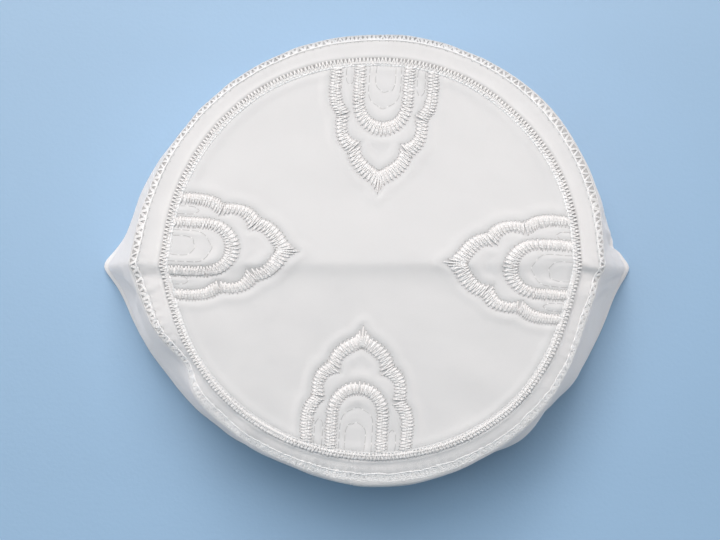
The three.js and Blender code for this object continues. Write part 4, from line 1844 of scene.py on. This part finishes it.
@dataclass(frozen=True)
class ShoulderZigzag:
    """The wide zigzag over the shoulder, worked round three times, between two looped edges."""

    work: Needlework
    count: int = 162
    sides: tuple[int, int] = (-1, 1)
    radii: tuple[float, float] = (0.19, 0.15)
    least_stand: float = 0.35
    buried: float = 0.15
    crease_radii: tuple[float, float] = (0.42, 0.05)
    points_per_v: int = 12
    rises: tuple[float, ...] = (0.14, 0.24, 0.08)
    inner_turn: float = 0.12
    outer_turn: float = 0.08
    scallop: float = 0.12
    # where painted shade starts on the strands, as a share of the way across
    shade_start: float = -0.1
    edges: tuple[Edge, ...] = (
        Edge("inner", 0.04, 0.20, (0.32, 0.24), 0.0),
        Edge("outer", 0.98, 0.12, (0.17, 0.14), 0.3),
    )
    edge_lift: float = 0.15
    edge_lift_change: float = 0.35
    clearance: float = 0.04
    around: float = 82.0
    roundness: float = 0.6
    seed: int = 11
    edge_seed: int = 41
    hole_offset: float = 0.4
    hole_radii: tuple[float, float] = (0.13, 0.06)

    def build(self) -> list[bpy.types.Object]:
        """Works the rounds, each with a grey ribbon under it and dark beads beside its turns that
        paint the shade of its crease and needle holes.
        """
        work = self.work
        pieces = []
        for number, rise in enumerate(self.rises):
            for strand, offset in zip("ab", self.sides):
                name = f"shoulder_zigzag_{number + 1}{strand}"
                path, normal = self._path(number, offset, rise)
                # painted shade: the strands darken towards their outer turns where LEADS say so
                look = work.pressed_and_shaded, THREAD_SIDES, self._tones(path)
                pieces.append(closed_thread(name, path, normal, self.radii, *look))
            # painted shadow: a grey ribbon along the middle of the round
            look = work.groove, THREAD_SIDES, self._tones(path)
            path, normal = self._path(number, 0, 0.0)
            name = f"shoulder_crease_{number + 1}"
            pieces.append(closed_thread(name, path, normal, self.crease_radii, *look))
            # dark beads beside the turns: painted shadows of the needle holes
            way = self._path(number, 0, 0.0, self.hole_offset)
            path, normal = (rows[: -1 : self.points_per_v] for rows in way)
            name = f"shoulder_zigzag_holes_{number + 1}"
            pieces.append(work.knob.scatter(name, path, normal, self.hole_radii, work.hole))
        return pieces + [self._edge(edge) for edge in self.edges]

    def _sunk(self, rise: Array, angle: Array) -> Array:
        """A height off the cloth, less where the stitches at that angle are buried in it."""
        stand = self.least_stand + (1 - self.least_stand) * zigzag_work("deep_and_shaded", angle)
        return rise * stand - self.buried * (1 - stand)

    def _tones(self, path: Array) -> Array:
        """How much painted shade a strand takes along its way: more towards its outer turns, as strong
        as LEADS give at its angle.
        """
        wave = self._wave(np.arange(len(path)) / self.points_per_v)
        angle = np.degrees(np.arctan2(path[:, 1], path[:, 0]))
        return np.clip(wave + self.shade_start, 0, 1) * zigzag_work("deep_and_shaded", angle)

    def _edge(self, edge: Edge) -> bpy.types.Object:
        """The looped thread along one edge."""
        rng = np.random.default_rng(self.edge_seed)
        step = np.arange(self.count * self.points_per_v + 1) / self.points_per_v
        angle = step / self.count * 360
        loose = zigzag_work("loose", angle)
        noise = np.interp(step, np.arange(self.count + 1), rng.normal(0, 1, self.count + 1))
        loops = edge.loops * np.abs(np.sin(math.pi * step))
        length = RULER.zigzag_start(angle) + ZIGZAG_WIDTH * edge.share - loops + noise * loose * 0.5
        place = RULER.place_at(angle, length)
        share = self.edge_lift + self.edge_lift_change * np.abs(np.sin(math.pi * step))
        rise = self._sunk(self.clearance + edge.radii[1] * share, angle)
        path, normal = self.work.on_band(angle, place, rise)
        path[-1], normal[-1] = path[0], normal[0]
        name = f"shoulder_edge_{edge.name}"
        # painted shade on the edge, as strong as LEADS give
        tones = edge.dull_and_shaded * zigzag_work("deep_and_shaded", angle)
        look = self.work.pressed_and_shaded, THREAD_SIDES, tones
        return closed_thread(name, path, normal, edge.radii, *look)

    def _wave(self, turn: Array) -> Array:
        """How far across the zigzag a thread lies, through one V: 0 at its inner turn, then 1."""
        first = self.inner_turn / 2
        leg = (1 - self.inner_turn - self.outer_turn) / 2
        away = np.abs(turn - np.rint(turn))
        wave = np.clip((away - first) / leg, 0, 1)
        bow = np.where(away < first, np.cos(math.pi / 2 * away / first), 0)
        return wave - bow * self.scallop / ZIGZAG_WIDTH

    def _path(self, number: int, side: int, rise: float, inset: float = 0.0) -> tuple[Array, Array]:
        """The way of one strand.

        Args:
            number: Which round, from 0.
            side: Which side of the middle of the round the strand lies, or 0 for the middle.
            rise: How far it stands off the cloth half way between its turns.
            inset: How far the whole way is moved towards the satin ring.

        Returns:
            Points in mm, and the directions away from the cloth.
        """
        rng = np.random.default_rng(self.seed + number)
        total = self.count * self.points_per_v
        step = np.arange(total + 1) / self.points_per_v
        base = step / self.count * 360
        columns = (None, "second", "third")
        lead = zigzag_work(columns[number], base) if number else 0.0
        loose = zigzag_work("loose", base)
        inner_noise, outer_noise, round_noise = rng.normal(0, 1, (3, self.count + 1))
        nearest = np.rint(step).astype(int) % self.count
        wave = self._wave(step)
        edge_noise = np.where(wave > 0.5, outer_noise[nearest], inner_noise[nearest])
        drift = np.interp(step, np.arange(self.count + 1), round_noise) * loose
        aside = np.degrees(side * zigzag_work("apart", base) / self.around)
        angle = (base + (lead + drift * 0.5) * 360 / self.count + aside) % 360
        start = RULER.zigzag_start(angle)
        length = start - inset + ZIGZAG_WIDTH * wave
        length = length + edge_noise * loose * 2 * np.abs(wave - 0.5)
        place = RULER.place_at(angle, length)
        arc = np.sin(math.pi * np.clip(wave, 0, 1)) ** self.roundness
        lift = rise * arc + self.clearance
        path, normal = self.work.on_band(angle, place, self._sunk(lift, angle))
        path[-1], normal[-1] = path[0], normal[0]
        return path, normal


@dataclass(frozen=True)
class HemStitching:
    """The straight stitches along the hem, and down the joint of the band's two ends."""

    work: Needlework
    count: int = 196
    share: float = 0.82
    radii: tuple[float, float] = (0.17, 0.14)
    joint_at: float = 265.8
    joint_start: float = 1.6
    joint_pitch: float = 2.2
    rise: float = 0.12
    sink: float = 0.05
    seed: int = 17

    def build(self) -> list[bpy.types.Object]:
        """Works both rows."""
        rng = np.random.default_rng(self.seed)
        steps = STRAIGHT_STEPS[None, :] * self.share
        angle = (np.arange(self.count)[:, None] + steps) * 360 / self.count
        length = np.stack([RULER.hem_length(row) for row in angle]) - HEM_LINE
        hem = self._on_band("hem_stitches", angle, length, rng)
        whole = float(RULER.hem_length(np.array([self.joint_at]))[0])
        tops = np.arange(self.joint_start, whole - HEM_LINE, self.joint_pitch)
        length = tops[:, None] + steps * self.joint_pitch
        angle = np.full(length.shape, self.joint_at)
        joint = self._on_band("band_joint_stitches", angle, length, rng)
        return [hem, joint]

    def _on_band(
        self, name: str, angle: Array, length: Array, rng: np.random.Generator
    ) -> bpy.types.Object:
        """Lays straight stitches on the band."""
        place = RULER.place_at(angle, length)
        lift = self.rise * np.sin(math.pi * STRAIGHT_STEPS) - self.sink
        path, normal = self.work.on_band(angle, place, lift)
        tones = rng.uniform(0, 1, len(path))
        return self.work.stitch.lay(name, path, normal, self.radii, tones, self.work.thread)


# ---- Studio ---------------------------------------------------------------------------------


class Softbox(NamedTuple):
    """A square area light: its direction from the cap, distance, size, power and colour."""

    name: str
    azimuth: float
    elevation: float
    distance: float
    size: float
    watts: float
    colour: tuple[float, float, float]


@dataclass(frozen=True)
class Studio:
    """Blue paper, soft light mostly from behind and above, and a camera straight above."""

    camera_height: float = 0.900
    camera_x: float = -0.00263
    camera_y: float = -0.0034
    seen_width: float = 0.2808
    sensor: float = 36.0
    clip_start: float = 0.05
    floor_half: float = 3.0
    surround: tuple[float, float, float] = (0.86, 0.96, 1.0)
    surround_strength: float = 0.18
    lights: tuple[Softbox, ...] = (
        Softbox("back_softbox", 92.0, 50.0, 3.6, 1.35, 44.0, (1.0, 0.90, 0.85)),
        Softbox("middle_softbox", 105.0, 62.0, 3.6, 1.35, 34.0, (1.0, 0.94, 0.91)),
        Softbox("top_softbox", 110.0, 74.0, 3.6, 1.35, 24.0, (1.0, 0.98, 0.98)),
        Softbox("right_softbox", 55.0, 74.0, 3.6, 1.35, 15.0, (0.80, 0.92, 1.0)),
        Softbox("left_softbox", 170.0, 66.0, 3.6, 1.35, 12.0, (0.60, 0.86, 1.0)),
        Softbox("right_card", 0.0, 6.0, 1.2, 0.2, 4.8, (1.0, 0.91, 0.85)),
        Softbox("left_card", 180.0, 6.0, 1.2, 0.2, 5.4, (1.0, 0.89, 0.82)),
    )

    def camera(self) -> None:
        """Sets the camera above the cap, looking straight down."""
        lens = bpy.data.cameras.new("camera")
        lens.sensor_width = self.sensor
        lens.lens = self.sensor * self.camera_height / self.seen_width
        lens.clip_start = self.clip_start
        camera = bpy.data.objects.new("camera", lens)
        camera.location = (self.camera_x, self.camera_y, self.camera_height)
        bpy.context.scene.collection.objects.link(camera)
        bpy.context.scene.camera = camera

    def floor(self, material: bpy.types.Material) -> None:
        """Lays the paper that the cap stands on."""
        mesh = flat_grid("floor", 1, 1)
        points = (coordinates(mesh) - (0.5, 0.5, 0.0)) * 2 * self.floor_half
        mesh.vertices.foreach_set("co", points.ravel())
        floor = as_object("floor", mesh, material)

    def light(self) -> None:
        """Hangs the softboxes and sets the light of the room."""
        for box in self.lights:
            lamp = bpy.data.lights.new(box.name, "AREA")
            lamp.shape = "SQUARE"
            lamp.size = box.size
            lamp.energy = box.watts
            lamp.color = box.colour
            holder = bpy.data.objects.new(box.name, lamp)
            turn, lift = math.radians(box.azimuth), math.radians(box.elevation)
            flat = math.cos(lift)
            away = Vector((flat * math.cos(turn), flat * math.sin(turn), math.sin(lift)))
            holder.location = away * box.distance
            holder.rotation_euler = away.to_track_quat("Z", "Y").to_euler()
            bpy.context.scene.collection.objects.link(holder)
        bpy.context.scene.view_settings.view_transform = "Standard"
        world = bpy.data.worlds.new("room")
        bpy.context.scene.world = world
        world.use_nodes = True
        background = world.node_tree.nodes["Background"]
        background.inputs["Color"].default_value = (*self.surround, 1.0)
        background.inputs["Strength"].default_value = self.surround_strength


class ArchKind(Enum):
    """The two arches of every motif."""

    LOBED = "lobed_arch"
    ROUND = "round_arch"

    @property
    def stretches(self) -> tuple[Stretch, ...]:
        """The arch's stretches of satin column."""
        return LOBED_ARCH if self is ArchKind.LOBED else ROUND_ARCH


FIRST_SEED = 100  # of the first motif's stitches
SEED_STEP = 10  # from one motif's seeds to the next one's


def main() -> None:
    """Builds the studio and the cap, piece by piece."""
    logging.basicConfig(level=logging.INFO, format="%(message)s")
    studio = Studio()
    studio.camera()
    studio.light()
    studio.floor(PaperFinish().material())
    cotton = CottonFinish().material()
    CrownCloth().build(cotton)
    BandCloth().build(cotton)
    work = Needlework(
        stitch=UnitStitch(sides=THREAD_SIDES, rings=len(SATIN_STEPS)),
        bar=UnitStitch(sides=BAR_SIDES, rings=BAR_RINGS),
        knob=Knob(),
        **{use: finish.material() for use, finish in THREADS.items()},
        hole=HoleShadowFinish().material(),
    )
    column = SatinColumn(work)
    for number, motif in enumerate(MOTIFS):
        for kind in ArchKind:
            node = f"{kind.value}_{motif.name}"
            seed = FIRST_SEED + SEED_STEP * number + (kind is ArchKind.ROUND)
            stitches, padding, pits = column.build(motif, kind.stretches, node, seed)
            report(stitches, "thread", node)
            report(padding, "thread")
            report(pits, "cotton")
    for piece in QuiltLines(work).build():
        report(piece, "thread")
    for number, piece in enumerate(SatinRing(work).build()):
        report(piece, "thread", *(["seam_ring"] if number == 0 else []))
    for number, piece in enumerate(ShoulderZigzag(work).build()):
        report(piece, "thread", *(["shoulder_zigzag"] if number == 0 else []))
    for piece in HemStitching(work).build():
        report(piece, "thread")


if __name__ == "__main__":
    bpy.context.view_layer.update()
    main()
